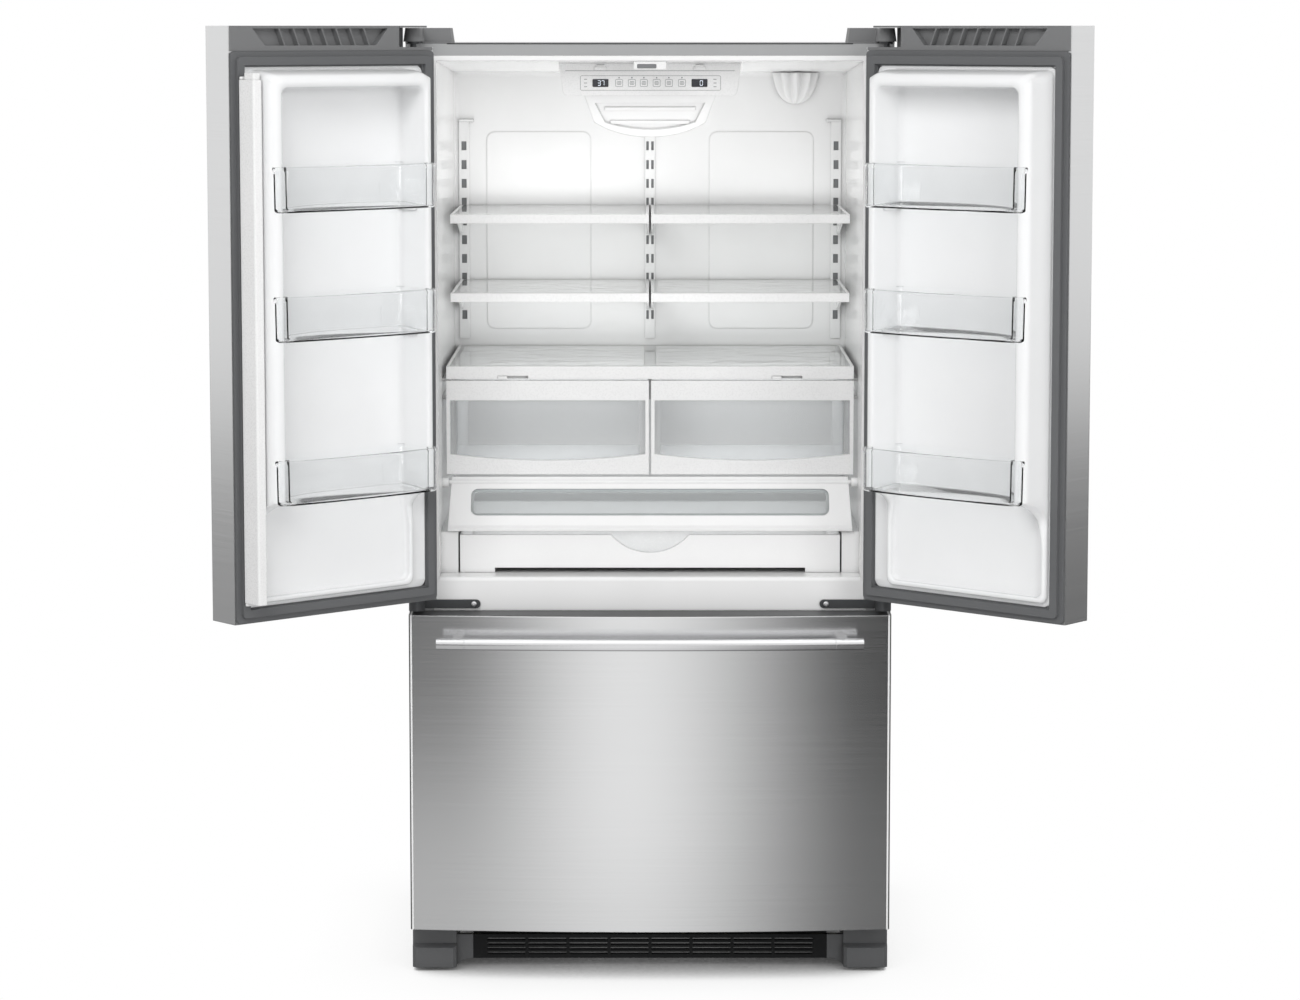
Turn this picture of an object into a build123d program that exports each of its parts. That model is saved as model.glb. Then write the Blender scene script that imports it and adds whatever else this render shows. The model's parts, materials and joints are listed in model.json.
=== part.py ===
from build123d import *
import math
import os

os.makedirs("parts", exist_ok=True)

# Frame: X runs right, Y runs back, Z runs up from the floor. Depths run back from the
# cabinet's front plane, and the origin lies under the middle of the part with its doors open.
FRONT_Y = -154.0

# Cabinet
CABINET_WIDTH = 905.0
CABINET_TOP = 1750.0
CABINET_BOTTOM = 80.0
CABINET_DEPTH = 737.0
SHEET = 1.5
SIDE_WALL = 56.5
CEILING_WALL = 32.0
LINER_WALL = 2.0
RIM_WIDTH = 10.0

# Fresh-food space
FRESH_FLOOR = 752.0
FRESH_DEPTH = 590.0
CEILING_DROP = 28.0
LINER_RADIUS = 10.0
WALL_PANEL_RISE = 1.2
WALL_PANEL_X = (120.0, 66.0)
WALL_PANEL_CORNER = 16.0
APRON_RADIUS = 8.0
APRON_HEIGHT = 63.0
RAIL_HEIGHT = 34.0
RAIL_DEPTH = 12.0

# Freezer space and machine compartment
FREEZER_FLOOR_WALL = 52.0
FREEZER_DEPTH = 560.0
HUMP_RISE = 158.0
HUMP_SLOPE = 80.0
MACHINE_DEPTH = 250.0
MACHINE_WALL = 47.0
MACHINE_HEIGHT = 240.0
MACHINE_SLOPE_DEPTH = 110.0
MACHINE_SLOPE_RISE = 70.0
MACHINE_COVER_REVEAL = 3.0

# Door and drawer fronts
FRONT_INSET = 2.5
DOOR_GAP = 3.0
DOOR_RISE = 33.0
DOOR_LAP = 30.0
DRAWER_GAP = 31.0
DRAWER_DROP = 39.0
PANEL_EDGE = 54.0
PANEL_BOW = 21.0
PANEL_CORNER = 6.0
SKIN = 2.0
DOOR_OPEN = 139.5

# Door hinges
HINGE_INSET = 17.7
HINGE_BACK = 40.8
HINGE_PIN = 6.0
HINGE_PLATE = 4.0
HINGE_TIP = 12.0
PIN_FIT = 0.08
RUNNING_GAP = 0.3
TOP_PIN_LENGTH = 24.0
NOTCH_WIDTH = 77.0
NOTCH_BELOW_TOP = 6.0
HINGE_PAD_WIDTH = 74.0
HINGE_PAD_DEPTH = 78.0
HINGE_PAD_SETBACK = 14.0
COVER_HEIGHT = 29.0
COVER_MARGIN = 6.0
COVER_SLOPE = 8.0
ARM_LENGTH = 104.0
ARM_HEIGHT = 16.0
ARM_PLATE = 4.0
ARM_BELOW_DOOR = 12.0
LOWER_PIN_LENGTH = 20.0
HUB_RADIUS = 15.0
SCREW_RADIUS = 5.0
SCREW_HEAD = 2.0

# Door end caps
TOP_CAP = 45.0
BOTTOM_CAP = 16.0
CAP_RECESS = 14.0
CAP_RECESS_LIP = 5.0
CAP_RECESS_HEIGHT = 30.0
CAP_RECESS_SLANT = 26.0
CAP_RIBS = 7
CAP_RIB = 3.0
CAP_RIB_LEAN = 12.0

# Gaskets
GASKET_GAP = 12.0
GASKET_INSET = 2.0
GASKET_WIDTH = 27.0
GASKET_BASE = 4.0
GASKET_BULB_INSET = 9.5
GASKET_BULB = 15.0
GASKET_CLEAR = 0.5
GASKET_BELOW_TOP = 12.0
GASKET_CORNER = 8.0

# Door liners and bins
LINER_PLATE = 4.0
DYKE_HEIGHT = 82.0
DYKE_WALL_GAP = 8.0
DYKE_HINGE_RIM = 18.0
DYKE_FREE_RIM = 25.0
DYKE_TOP_RIM = 24.0
DYKE_TOP_SLOPE = 16.0
DYKE_TOP_GAP = 6.0
DYKE_END_ABOVE_FLOOR = 106.0
PAN_RIM = 10.0
PAN_RIM_HEIGHT = 12.0
PAN_ABOVE_FLOOR = 6.0
BIN_SHARES = (0.1894, 0.479, 0.7064)
BIN_HEIGHT = 80.0
BIN_WALL = 2.5
BIN_FRONT = 28.0
BIN_CORNER = 24.0
BIN_LIP = 2.0
BIN_LIP_HEIGHT = 5.0
BIN_GAP = 1.0
BIN_LEDGE = 7.0
BIN_LEDGE_DEPTH = 50.0

# Flipper mullion on the left door
FLIPPER_WIDTH = 47.0
FLIPPER_THICK = 19.0
FLIPPER_CORNER = 4.0
FLIPPER_GAP = 3.0
FLIPPER_SEAL_GAP = 0.7
FLIPPER_ABOVE_FLOOR = 6.0
FLIPPER_BELOW_CEILING = 29.0
FLIPPER_PIN = 3.0
FLIPPER_PIN_LENGTH = 10.0
FOLLOWER_HEIGHT = 12.0
FOLLOWER_SETBACK = 14.0
FOLLOWER_MARGIN = 2.0
LUG_WIDTH = 10.0
LUG_HEIGHT = 5.0
GUIDE_HALF_WIDTH = 30.0
GUIDE_SETBACK = 2.0
GUIDE_DEPTH = 28.0
GUIDE_CLEAR = 1.5
GUIDE_GROOVE = 5.0

# Handles
HANDLE_REACH = 48.0
HANDLE_HEIGHT = 22.0
HANDLE_THICK = 18.0
HANDLE_POST = 20.0
HANDLE_POST_INSET = 38.0
HANDLE_END = 51.0
HANDLE_SEAM = 1.2
HANDLE_SEAM_DEPTH = 0.6
DOOR_HANDLE_LENGTH = 760.0
DOOR_HANDLE_FROM_EDGE = 66.0
DOOR_HANDLE_ABOVE_BOTTOM = 78.0
DRAWER_HANDLE_INSET = 55.0
DRAWER_HANDLE_BELOW_TOP = 45.0

# Base
BASE_PLATE = 8.0
BASE_SETBACK = 20.0
RAIL_INSET = 48.5
RAIL_SPAN = 32.0
RAIL_CHEEK = 3.0
RAIL_LOW = 14.0
BASE_RAIL_FRONT = 30.0
BASE_RAIL_BACK_GAP = 37.0
ROLLER_RADIUS = 25.0
ROLLER_GAP = 2.0
ROLLER_FROM_BACK = 97.0
AXLE_RADIUS = 5.0
AXLE_OVERHANG = 3.0
FOOT_DEPTH = 55.0
FOOT_BLOCK = 30.0
FOOT_STEM = 6.0
FOOT_PAD_RADIUS = 12.0
FOOT_PAD_HEIGHT = 12.0
GRILLE_INSET = 116.5
GRILLE_LOW = 20.0
GRILLE_BELOW_PLATE = 6.0
GRILLE_FRONT = 4.0
GRILLE_THICK = 12.0
GRILLE_END = 24.0
GRILLE_BAR = 6.0
GRILLE_SLOT_HEIGHT = 5.0
GRILLE_SLOT_PITCH = 9.0
GRILLE_ROWS = 4
GRILLE_COLUMNS = 8
FOOT_COVER_WIDTH = 83.0
FOOT_COVER_LOW = 7.0
FOOT_COVER_STEP = 45.0
FOOT_COVER_GAP = 3.0
FOOT_COVER_FRONT = 18.0
FOOT_COVER_BACK = 28.0
FOOT_COVER_SHOULDER = 14.0
FOOT_COVER_CHAMFER = 6.0

# Control panel, lamps and shelf tracks
CONTROL_WIDTH = 342.0
CONTROL_FRONT = 84.0
CONTROL_LEAN = 14.0
CONTROL_THICK = 22.0
CONTROL_HEIGHT = 62.0
CONTROL_TAPER = 8.0
CONTROL_CORNER = 12.0
LAMP_WIDTH = 248.0
LAMP_NECK = 212.0
LAMP_NECK_DROP = 72.0
LAMP_DROP = 112.0
LAMP_TILT = 44.0
LAMP_RIM = 20.0
LAMP_RIM_HEIGHT = 4.0
LAMP_RIDGES = 2
LAMP_RIDGE = 9.0
LENS_FROM_WALL = 103.0
LENS_WIDTH = 100.0
LENS_FOOT = 68.0
LENS_HEIGHT = 54.0
LENS_THICK = 52.0
LENS_CORNER = 22.0
LENS_EDGE = 10.0
LENS_FLUTES = 4
LENS_FLUTE = 8.0
TRACK_FROM_WALL = 20.0
TRACK_WIDTH = 20.0
TRACK_THICK = 4.0
TRACK_ABOVE_COVER = 14.0
TRACK_BELOW_CEILING = 100.0
TRACK_END = 48.0
TRACK_HEAD = 5.0
TRACK_SLOT_WIDTH = 10.0
TRACK_SLOT_HEIGHT = 18.0
TRACK_SLOTS = 10
CENTRE_SLOT_WIDTH = 5.0
CENTRE_SLOT_GAP = 10.0

# Shelves, at shares of the height over the crisper cover
SHELF_SHARES = (0.231, 0.4914)
SHELF_FRONT = 200.0
SHELF_SIDE_GAP = 13.0
SHELF_CENTRE_GAP = 4.0
SHELF_TRIM = 17.0
SHELF_RAIL = 14.0
SHELF_LEDGE = 6.0
GLASS = 4.0
GLASS_FIT = 0.2
ARM_DROP = 42.0
ARM_REACH = 190.0
ARM_THICK = 5.0
COVER_LEVEL = 386.0
COVER_FRONT = 125.0
COVER_SIDE_GAP = 8.0
COVER_TRIM = 24.0
COVER_BACK_GAP = 2.0

# Crispers, under the cover
CRISPER_GAP = 4.0
CRISPER_TOP_GAP = 3.0
CRISPER_BOTTOM = 179.0
CRISPER_FRONT_THICK = 12.0
CRISPER_RAIL = 38.0
CRISPER_SILL = 27.0
CRISPER_SILL_BOW = 12.0
CRISPER_FRAME = 7.0
CRISPER_WALL = 2.5
CRISPER_INSET = 18.0
CRISPER_BACK_GAP = 23.0
CRISPER_FLANGE = 4.0
CRISPER_LEDGE_BELOW_COVER = 34.0
LEDGE = 6.0
LEDGE_WIDTH = 18.0
TEE_WEB = 6.0
TEE_FLANGE = 24.0
SLIDER_WIDTH = 18.0
SLIDER_SLOT = 58.0
SLIDER_SLOT_HEIGHT = 6.0
SLIDER_SLOT_DEPTH = 12.0
SLIDER_PROUD = 3.0
SLIDER_FROM_WALL = 135.0

# Pantry, measured above the fresh-food floor
PANTRY_BLOCK = 33.0
PANTRY_FRONT = 60.0
PANTRY_HEIGHT = 72.0
PANTRY_LIFT = 9.0
PANTRY_BACK_GAP = 50.0
PANTRY_FRONT_THICK = 10.0
PANTRY_WALL = 3.0
PANTRY_RUNNER = 66.0
PANTRY_NOTCH = 74.0
PANTRY_NOTCH_DROP = 34.0
PANTRY_BLOCK_GAP = 3.0
PANTRY_BLOCK_HEIGHT = 78.0
LID_FRONT = 51.0
LID_LOW = 80.0
LID_LIP = 10.0
LID_TOP = 175.0
LID_BACK = 124.0
LID_THICK = 8.0
LID_SIDE_GAP = 13.0
LID_SIDE_TAPER = 5.0
LID_SHOULDER = 8.0
LID_PIN = 4.0
LID_PIN_INSET = 6.0
LID_BOSS = 9.0
WINDOW_MARGIN = 43.0
WINDOW_HEIGHT = 58.0
WINDOW_SETBACK = 22.0
WINDOW_CORNER = 14.0
WINDOW_THICK = 3.0
WINDOW_LEDGE = 5.0

# Freezer drawer inside
SLIDE_WIDTH = 14.0
SLIDE_HEIGHT = 22.0
SLIDE_RAIL_WIDTH = 15.0
SLIDE_RAIL_HEIGHT = 34.0
SLIDE_GAP = 0.5
SLIDE_BELOW_CEILING = 245.0
SLIDE_LENGTH = 400.0
FREEZER_BIN_LIFT = 28.0
FREEZER_BIN_FRONT = 16.0
FREEZER_BIN_BACK_GAP = 54.0
FREEZER_BIN_WALL = 3.0
BASKET_BELOW_CEILING = 60.0
BASKET_HEIGHT = 130.0
BASKET_FRONT = 40.0
BASKET_BACK_GAP = 34.0
BASKET_SLOT = 60.0
BASKET_SLOTS = 9

# Cold and machine parts
EVAP_SPACE = 76.0
EVAP_COVER_LIFT = 22.0
EVAP_COVER_THICK = 4.0
EVAP_FAN_BELOW_CEILING = 85.0
FAN_HOLE = 66.0
FAN_RADIUS = 58.0
FAN_HUB = 18.0
FAN_THICK = 14.0
FAN_BLADES = 5
FAN_BLADE_ANGLE = 32.0
FAN_SHAFT = 3.0
MOTOR_RADIUS = 22.0
MOTOR_LENGTH = 30.0
SPIDER = 8.0
EVAP_SIDE_GAP = 76.0
EVAP_LIFT = 8.0
EVAP_HEIGHT = 82.0
EVAP_THICK = 52.0
EVAP_FINS = 20
FIN_GAP = 0.6
COMPRESSOR_FROM_SIDE = 222.5
COMPRESSOR_FROM_BACK = 122.0
COMPRESSOR_RADIUS = 74.0
COMPRESSOR_HEIGHT = 176.0
COMPRESSOR_DOME = 48.0
COMPRESSOR_FOOT = 12.0
COMPRESSOR_FOOT_WIDTH = 163.0
COMPRESSOR_FOOT_DEPTH = 104.0
PAN_FROM_SIDE = 82.5
PAN_WIDTH = 310.0
PAN_FROM_BACK = 37.0
PAN_LENGTH = 180.0
PAN_HEIGHT = 28.0
PAN_WALL = 3.0
CONDENSER_FAN_GAP = 30.0
CONDENSER_END_GAP = 20.0
CONDENSER_FRONT_GAP = 24.0
CONDENSER_BACK_GAP = 14.0
CONDENSER_HEIGHT = 165.0
CONDENSER_FINS = 14
SHROUD = 4.0
CONDENSER_FAN_LIFT = 86.0
LOUVRE_WIDTH = 70.0
LOUVRE_HEIGHT = 7.0
LOUVRE_PITCH = 16.0
LOUVRE_COLUMN_PITCH = 92.0
LOUVRE_ROWS = 9
LOUVRE_COLUMNS = 7
BACK_RIB = 6.0
BACK_RIB_WIDTH = 40.0

# Worked out from the driving dimensions
half = CABINET_WIDTH / 2
fresh_half = half - SIDE_WALL
rim_half = fresh_half + RIM_WIDTH
fresh_ceiling = CABINET_TOP - CEILING_WALL
apron_top = FRESH_FLOOR - APRON_RADIUS
rail_top = FRESH_FLOOR - APRON_HEIGHT
rail_low = rail_top - RAIL_HEIGHT
freezer_ceiling = rail_low - RIM_WIDTH
freezer_floor = CABINET_BOTTOM + FREEZER_FLOOR_WALL
freezer_rim_low = freezer_floor - RIM_WIDTH
machine_top = CABINET_BOTTOM + MACHINE_HEIGHT
front_half = half - FRONT_INSET
door_top = CABINET_TOP + DOOR_RISE
door_bottom = FRESH_FLOOR - DOOR_LAP
drawer_top = door_bottom - DRAWER_GAP
drawer_bottom = freezer_floor - DRAWER_DROP
bow_radius = (front_half**2 + PANEL_BOW**2) / (2 * PANEL_BOW)
pivot_x = -(half - HINGE_INSET)
pivot_depth = -(GASKET_GAP + HINGE_BACK)
hinge_edge = -front_half - pivot_x
free_edge = -DOOR_GAP / 2 - pivot_x
inner_face = HINGE_BACK
swing = math.radians(DOOR_OPEN)
along = Vector(math.cos(swing), -math.sin(swing), 0)
inward = Vector(math.sin(swing), math.cos(swing), 0)
pivot = Vector(pivot_x, FRONT_Y + pivot_depth, 0)

# Levels and widths of what stands in the fresh-food space
cover_top = FRESH_FLOOR + COVER_LEVEL
cover_low = cover_top - COVER_TRIM
cover_half = fresh_half - COVER_SIDE_GAP
shelf_levels = [cover_top + share * (fresh_ceiling - cover_top) for share in SHELF_SHARES]
bin_levels = [FRESH_FLOOR + share * (CABINET_TOP - FRESH_FLOOR) for share in BIN_SHARES]
track_x = fresh_half - TRACK_FROM_WALL
track_low = cover_top + TRACK_ABOVE_COVER
track_high = fresh_ceiling - CEILING_DROP - TRACK_BELOW_CEILING
lens_x = fresh_half - LENS_FROM_WALL
crisper_ledge = cover_low - CRISPER_LEDGE_BELOW_COVER
crisper_low = FRESH_FLOOR + CRISPER_BOTTOM
tub_front = COVER_FRONT + CRISPER_FRONT_THICK
crisper_length = FRESH_DEPTH - CRISPER_BACK_GAP - tub_front
slider_x = fresh_half - SLIDER_FROM_WALL
block_x = fresh_half - PANTRY_BLOCK
pantry_half = block_x - PANTRY_BLOCK_GAP
pantry_length = FRESH_DEPTH - PANTRY_BACK_GAP - PANTRY_FRONT
lid_pin_depth = LID_BACK - LID_PIN_INSET
lid_pin_height = FRESH_FLOOR + LID_TOP - LID_PIN - LID_PIN_INSET
lid_half = fresh_half - LID_SIDE_GAP
window_width = 2 * (lid_half - WINDOW_MARGIN)
ledge_back = FRESH_DEPTH - 2 * LINER_RADIUS

# Levels and places of what stands in the freezer, the machine compartment and the base
hump_depth = CABINET_DEPTH - MACHINE_DEPTH - MACHINE_WALL
slide_level = freezer_ceiling - SLIDE_BELOW_CEILING
freezer_bin_low = freezer_floor + FREEZER_BIN_LIFT
freezer_bin_length = hump_depth - FREEZER_BIN_BACK_GAP - FREEZER_BIN_FRONT
basket_top = freezer_ceiling - BASKET_BELOW_CEILING
basket_low = basket_top - BASKET_HEIGHT
evap_cover_depth = FREEZER_DEPTH - EVAP_SPACE
evap_cover_low = freezer_floor + HUMP_RISE + HUMP_SLOPE + EVAP_COVER_LIFT
evap_fan_height = freezer_ceiling - EVAP_FAN_BELOW_CEILING
evap_half = fresh_half - EVAP_SIDE_GAP
evap_low = evap_cover_low + EVAP_LIFT
basket_length = evap_cover_depth - BASKET_BACK_GAP - BASKET_FRONT
compressor_x = COMPRESSOR_FROM_SIDE - half
compressor_depth = CABINET_DEPTH - COMPRESSOR_FROM_BACK
pan_x = (half - PAN_FROM_SIDE - PAN_WIDTH, half - PAN_FROM_SIDE)
pan_depth = (CABINET_DEPTH - PAN_FROM_BACK - PAN_LENGTH, CABINET_DEPTH - PAN_FROM_BACK)
condenser_x = (pan_x[0] + CONDENSER_FAN_GAP, pan_x[1] - CONDENSER_END_GAP)
condenser_depth = (pan_depth[0] + CONDENSER_FRONT_GAP, pan_depth[1] - CONDENSER_BACK_GAP)
condenser_low = CABINET_BOTTOM + PAN_WALL
condenser_top = CABINET_BOTTOM + CONDENSER_HEIGHT
condenser_fan_height = CABINET_BOTTOM + CONDENSER_FAN_LIFT
base_low = CABINET_BOTTOM - BASE_PLATE
rail_outer_x = half - RAIL_INSET
rail_inner_x = rail_outer_x - RAIL_SPAN
channel_mid = rail_inner_x + RAIL_SPAN / 2
base_rail_back = CABINET_DEPTH - BASE_RAIL_BACK_GAP
roller_depth = CABINET_DEPTH - ROLLER_FROM_BACK
grille_half = half - GRILLE_INSET
grille_top = base_low - GRILLE_BELOW_PLATE
grille_pitch = 2 * (grille_half - GRILLE_END) / GRILLE_COLUMNS
foot_cover_top = CABINET_BOTTOM - FOOT_COVER_GAP


def plan(height):
    """Level plane: X across the cabinet, Y back from its front plane."""
    return Plane(origin=(0, FRONT_Y, height), x_dir=(1, 0, 0), z_dir=(0, 0, 1))


def front(depth):
    """Upright plane that faces forward: X across, Y up."""
    return Plane(origin=(0, FRONT_Y + depth, 0), x_dir=(1, 0, 0), z_dir=(0, -1, 0))


def side(across):
    """Upright plane that faces right: X back from the front plane, Y up."""
    return Plane(origin=(across, FRONT_Y, 0), x_dir=(0, 1, 0), z_dir=(1, 0, 0))


def door_plan(height):
    """Level plane in the open left door: X from its hinge pin to its free edge, Y inward."""
    return Plane(origin=pivot + Vector(0, 0, height), x_dir=along, z_dir=(0, 0, 1))


def door_side(across):
    """Upright plane across the open left door: X inward, Y up, facing the free edge."""
    return Plane(origin=pivot + along * across, x_dir=inward, z_dir=along)


def door_face(inset):
    """Upright plane along the open left door: X to the free edge, Y up, facing outward."""
    return Plane(origin=pivot + inward * inset, x_dir=along, z_dir=-inward)


def area(low, high, mode=Mode.ADD):
    """Rectangle between two corners of the open sketch."""
    with Locations(((low[0] + high[0]) / 2, (low[1] + high[1]) / 2)):
        Rectangle(high[0] - low[0], high[1] - low[1], mode=mode)


def ring(low, high, width, corner):
    """Rectangular ring with rounded outer corners between two corners of the open sketch."""
    with Locations(((low[0] + high[0]) / 2, (low[1] + high[1]) / 2)):
        RectangleRounded(high[0] - low[0], high[1] - low[1], corner)
        Rectangle(high[0] - low[0] - 2 * width, high[1] - low[1] - 2 * width, mode=Mode.SUBTRACT)


def ceiling(depth):
    """Height of the fresh-food ceiling at a depth."""
    return fresh_ceiling - CEILING_DROP * depth / FRESH_DEPTH


def face_depth(across):
    """Depth of the bowed outer face of the doors and the drawer at a place across the cabinet."""
    return bow_radius - math.sqrt(bow_radius**2 - across**2) - (GASKET_GAP + PANEL_EDGE + PANEL_BOW)


def write(piece, name):
    """Labels a finished piece and writes its file."""
    piece.part.label = name
    export_step(piece.part, f"parts/{name}.step")


# Hollow forms of the two liners: the space inside a liner, and the same space grown by its wall.
def fresh_form(grow):
    with BuildPart() as form:
        with BuildSketch(side(0)):
            with BuildLine():
                Polyline(
                    (0, apron_top),
                    (0, fresh_ceiling + grow),
                    (FRESH_DEPTH + grow, fresh_ceiling - CEILING_DROP + grow),
                    (FRESH_DEPTH + grow, FRESH_FLOOR - grow),
                    (APRON_RADIUS, FRESH_FLOOR - grow),
                )
                ThreePointArc(
                    (APRON_RADIUS, FRESH_FLOOR - grow),
                    (
                        APRON_RADIUS - (APRON_RADIUS - grow) * math.sqrt(0.5),
                        apron_top + (APRON_RADIUS - grow) * math.sqrt(0.5),
                    ),
                    (grow, apron_top),
                )
                if grow:
                    Line((grow, apron_top), (0, apron_top))
            make_face()
        extrude(amount=fresh_half + grow, both=True)
        fillet(form.faces().sort_by(Axis.Y)[-1].edges(), LINER_RADIUS + grow)
    return form.part


def freezer_form(grow):
    with BuildPart() as form:
        with BuildSketch(side(0)):
            with BuildLine():
                Polyline(
                    (0, freezer_floor - grow),
                    (0, freezer_ceiling + grow),
                    (FREEZER_DEPTH + grow, freezer_ceiling + grow),
                    (FREEZER_DEPTH + grow, freezer_floor + HUMP_RISE + HUMP_SLOPE - grow),
                    (hump_depth + grow, freezer_floor + HUMP_RISE - grow),
                    (hump_depth + grow, freezer_floor - grow),
                    close=True,
                )
            make_face()
        extrude(amount=fresh_half + grow, both=True)
    return form.part


fresh_space = fresh_form(0)
fresh_shell = fresh_form(LINER_WALL)
freezer_space = freezer_form(0)
freezer_shell = freezer_form(LINER_WALL)

# Cabinet shell: the bent steel wrapper, with its front flange returned around both openings.
with BuildPart() as cabinet_shell:
    with BuildSketch(front(0)):
        area((-half, CABINET_BOTTOM), (half, CABINET_TOP))
        area(
            (-half + SHEET, CABINET_BOTTOM), (half - SHEET, CABINET_TOP - SHEET), Mode.SUBTRACT
        )
    extrude(amount=SHEET - CABINET_DEPTH)
    with BuildSketch(front(0)):
        area((-half, CABINET_BOTTOM), (half, CABINET_TOP))
        area((-rim_half, freezer_rim_low), (rim_half, fresh_ceiling + RIM_WIDTH), Mode.SUBTRACT)
    extrude(amount=-SHEET)
write(cabinet_shell, "cabinet_shell")

# Back panel: flat steel with two pressed ribs, above the machine compartment.
with BuildPart() as back_panel:
    with BuildSketch(front(CABINET_DEPTH)):
        area((-half, machine_top), (half, CABINET_TOP))
    extrude(amount=SHEET)
    with BuildSketch(front(CABINET_DEPTH)):
        for rib_x in (-half / 2, half / 2):
            area(
                (rib_x - BACK_RIB_WIDTH / 2, machine_top + SIDE_WALL),
                (rib_x + BACK_RIB_WIDTH / 2, CABINET_TOP - SIDE_WALL),
            )
    extrude(amount=-BACK_RIB)
write(back_panel, "back_panel")

# Foam insulation: fills the wrapper around both liners and over the machine compartment.
with BuildPart() as foam_core:
    with BuildSketch(front(SHEET)):
        area((-half + SHEET, CABINET_BOTTOM), (half - SHEET, CABINET_TOP - SHEET))
    extrude(amount=2 * SHEET - CABINET_DEPTH)
    add(fresh_shell, mode=Mode.SUBTRACT)
    add(freezer_shell, mode=Mode.SUBTRACT)
    with BuildSketch(front(0)):
        area((-rim_half, rail_low), (rim_half, rail_top))
    extrude(amount=-RAIL_DEPTH, mode=Mode.SUBTRACT)
    with BuildSketch(side(0)):
        with BuildLine():
            Polyline(
                (CABINET_DEPTH, CABINET_BOTTOM),
                (CABINET_DEPTH, machine_top),
                (CABINET_DEPTH - MACHINE_DEPTH + MACHINE_SLOPE_DEPTH, machine_top),
                (CABINET_DEPTH - MACHINE_DEPTH, machine_top - MACHINE_SLOPE_RISE),
                (CABINET_DEPTH - MACHINE_DEPTH, CABINET_BOTTOM),
                close=True,
            )
        make_face()
    extrude(amount=half, both=True, mode=Mode.SUBTRACT)
write(foam_core, "foam_core")

# Fresh-food liner: white moulding with its rim, apron, ledges, pantry blocks and lid bosses.
with BuildPart() as fresh_food_liner:
    add(fresh_shell)
    add(fresh_space, mode=Mode.SUBTRACT)
    with BuildSketch(front(0)):
        area((-rim_half, rail_top), (rim_half, fresh_ceiling + RIM_WIDTH))
        area(
            (-fresh_half - LINER_WALL / 2, apron_top),
            (fresh_half + LINER_WALL / 2, fresh_ceiling + LINER_WALL / 2),
            Mode.SUBTRACT,
        )
    extrude(amount=-SHEET)
    for hand in (-1, 1):
        with BuildSketch(side(hand * fresh_half)):
            area((COVER_FRONT + LEDGE_WIDTH, cover_low - LEDGE), (ledge_back, cover_low))
        extrude(amount=-hand * (COVER_SIDE_GAP + LINER_WALL))
        with BuildSketch(side(hand * fresh_half)):
            area((COVER_FRONT + LEDGE_WIDTH, crisper_ledge - LEDGE), (ledge_back, crisper_ledge))
        extrude(amount=-hand * LEDGE_WIDTH)
        with BuildSketch(side(hand * fresh_half)):
            area(
                (PANTRY_FRONT, FRESH_FLOOR),
                (ledge_back, FRESH_FLOOR + PANTRY_BLOCK_HEIGHT),
            )
        extrude(amount=-hand * (fresh_half - block_x))
        with BuildSketch(side(hand * fresh_half)):
            with Locations((lid_pin_depth, lid_pin_height)):
                Circle(LID_BOSS)
                Circle(LID_PIN + PIN_FIT, mode=Mode.SUBTRACT)
        extrude(amount=-hand * (LID_SIDE_GAP - RUNNING_GAP))
        near, far = sorted((hand * WALL_PANEL_X[0], hand * (fresh_half - WALL_PANEL_X[1])))
        with BuildSketch(front(FRESH_DEPTH)):
            with Locations(((near + far) / 2, (track_low + track_high) / 2)):
                RectangleRounded(
                    far - near, track_high - track_low - 2 * TRACK_WIDTH, WALL_PANEL_CORNER
                )
        extrude(amount=WALL_PANEL_RISE)
        near, far = sorted((hand * (track_x - TRACK_WIDTH), hand * (fresh_half - LINER_RADIUS)))
        with BuildSketch(front(FRESH_DEPTH)):
            area((near, track_high + RUNNING_GAP), (far, track_high + RUNNING_GAP + TRACK_HEAD))
        extrude(amount=2 * TRACK_THICK)
write(fresh_food_liner, "fresh_food_liner")

# Freezer liner: white moulding stepped over the machine compartment, with ledges for the basket.
with BuildPart() as freezer_liner:
    add(freezer_shell)
    add(freezer_space, mode=Mode.SUBTRACT)
    with BuildSketch(front(0)):
        area((-rim_half, freezer_rim_low), (rim_half, rail_low))
        area(
            (-fresh_half - LINER_WALL / 2, freezer_floor - LINER_WALL / 2),
            (fresh_half + LINER_WALL / 2, freezer_ceiling + LINER_WALL / 2),
            Mode.SUBTRACT,
        )
    extrude(amount=-SHEET)
    for hand in (-1, 1):
        with BuildSketch(side(hand * fresh_half)):
            area((BASKET_FRONT, basket_top - LEDGE), (evap_cover_depth, basket_top))
        extrude(amount=-hand * LEDGE_WIDTH)
write(freezer_liner, "freezer_liner")

# Centre rail: steel cross member between the two openings.
with BuildPart() as centre_rail:
    with BuildSketch(front(0)):
        area((-rim_half, rail_low), (rim_half, rail_top))
    extrude(amount=-RAIL_DEPTH)
write(centre_rail, "centre_rail")


# Upper hinges: steel plates on the cabinet top, each with the pin that the door turns on.
def top_hinge_outline(margin):
    with Locations((pivot_x, pivot_depth)):
        Circle(HINGE_TIP + margin)
    area(
        (pivot_x - HINGE_TIP - margin, pivot_depth),
        (pivot_x + HINGE_TIP + margin, HINGE_PAD_SETBACK),
    )
    area(
        (pivot_x - HINGE_TIP - margin, HINGE_PAD_SETBACK - margin),
        (
            pivot_x - HINGE_TIP + HINGE_PAD_WIDTH + margin,
            HINGE_PAD_SETBACK + HINGE_PAD_DEPTH + margin,
        ),
    )


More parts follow.
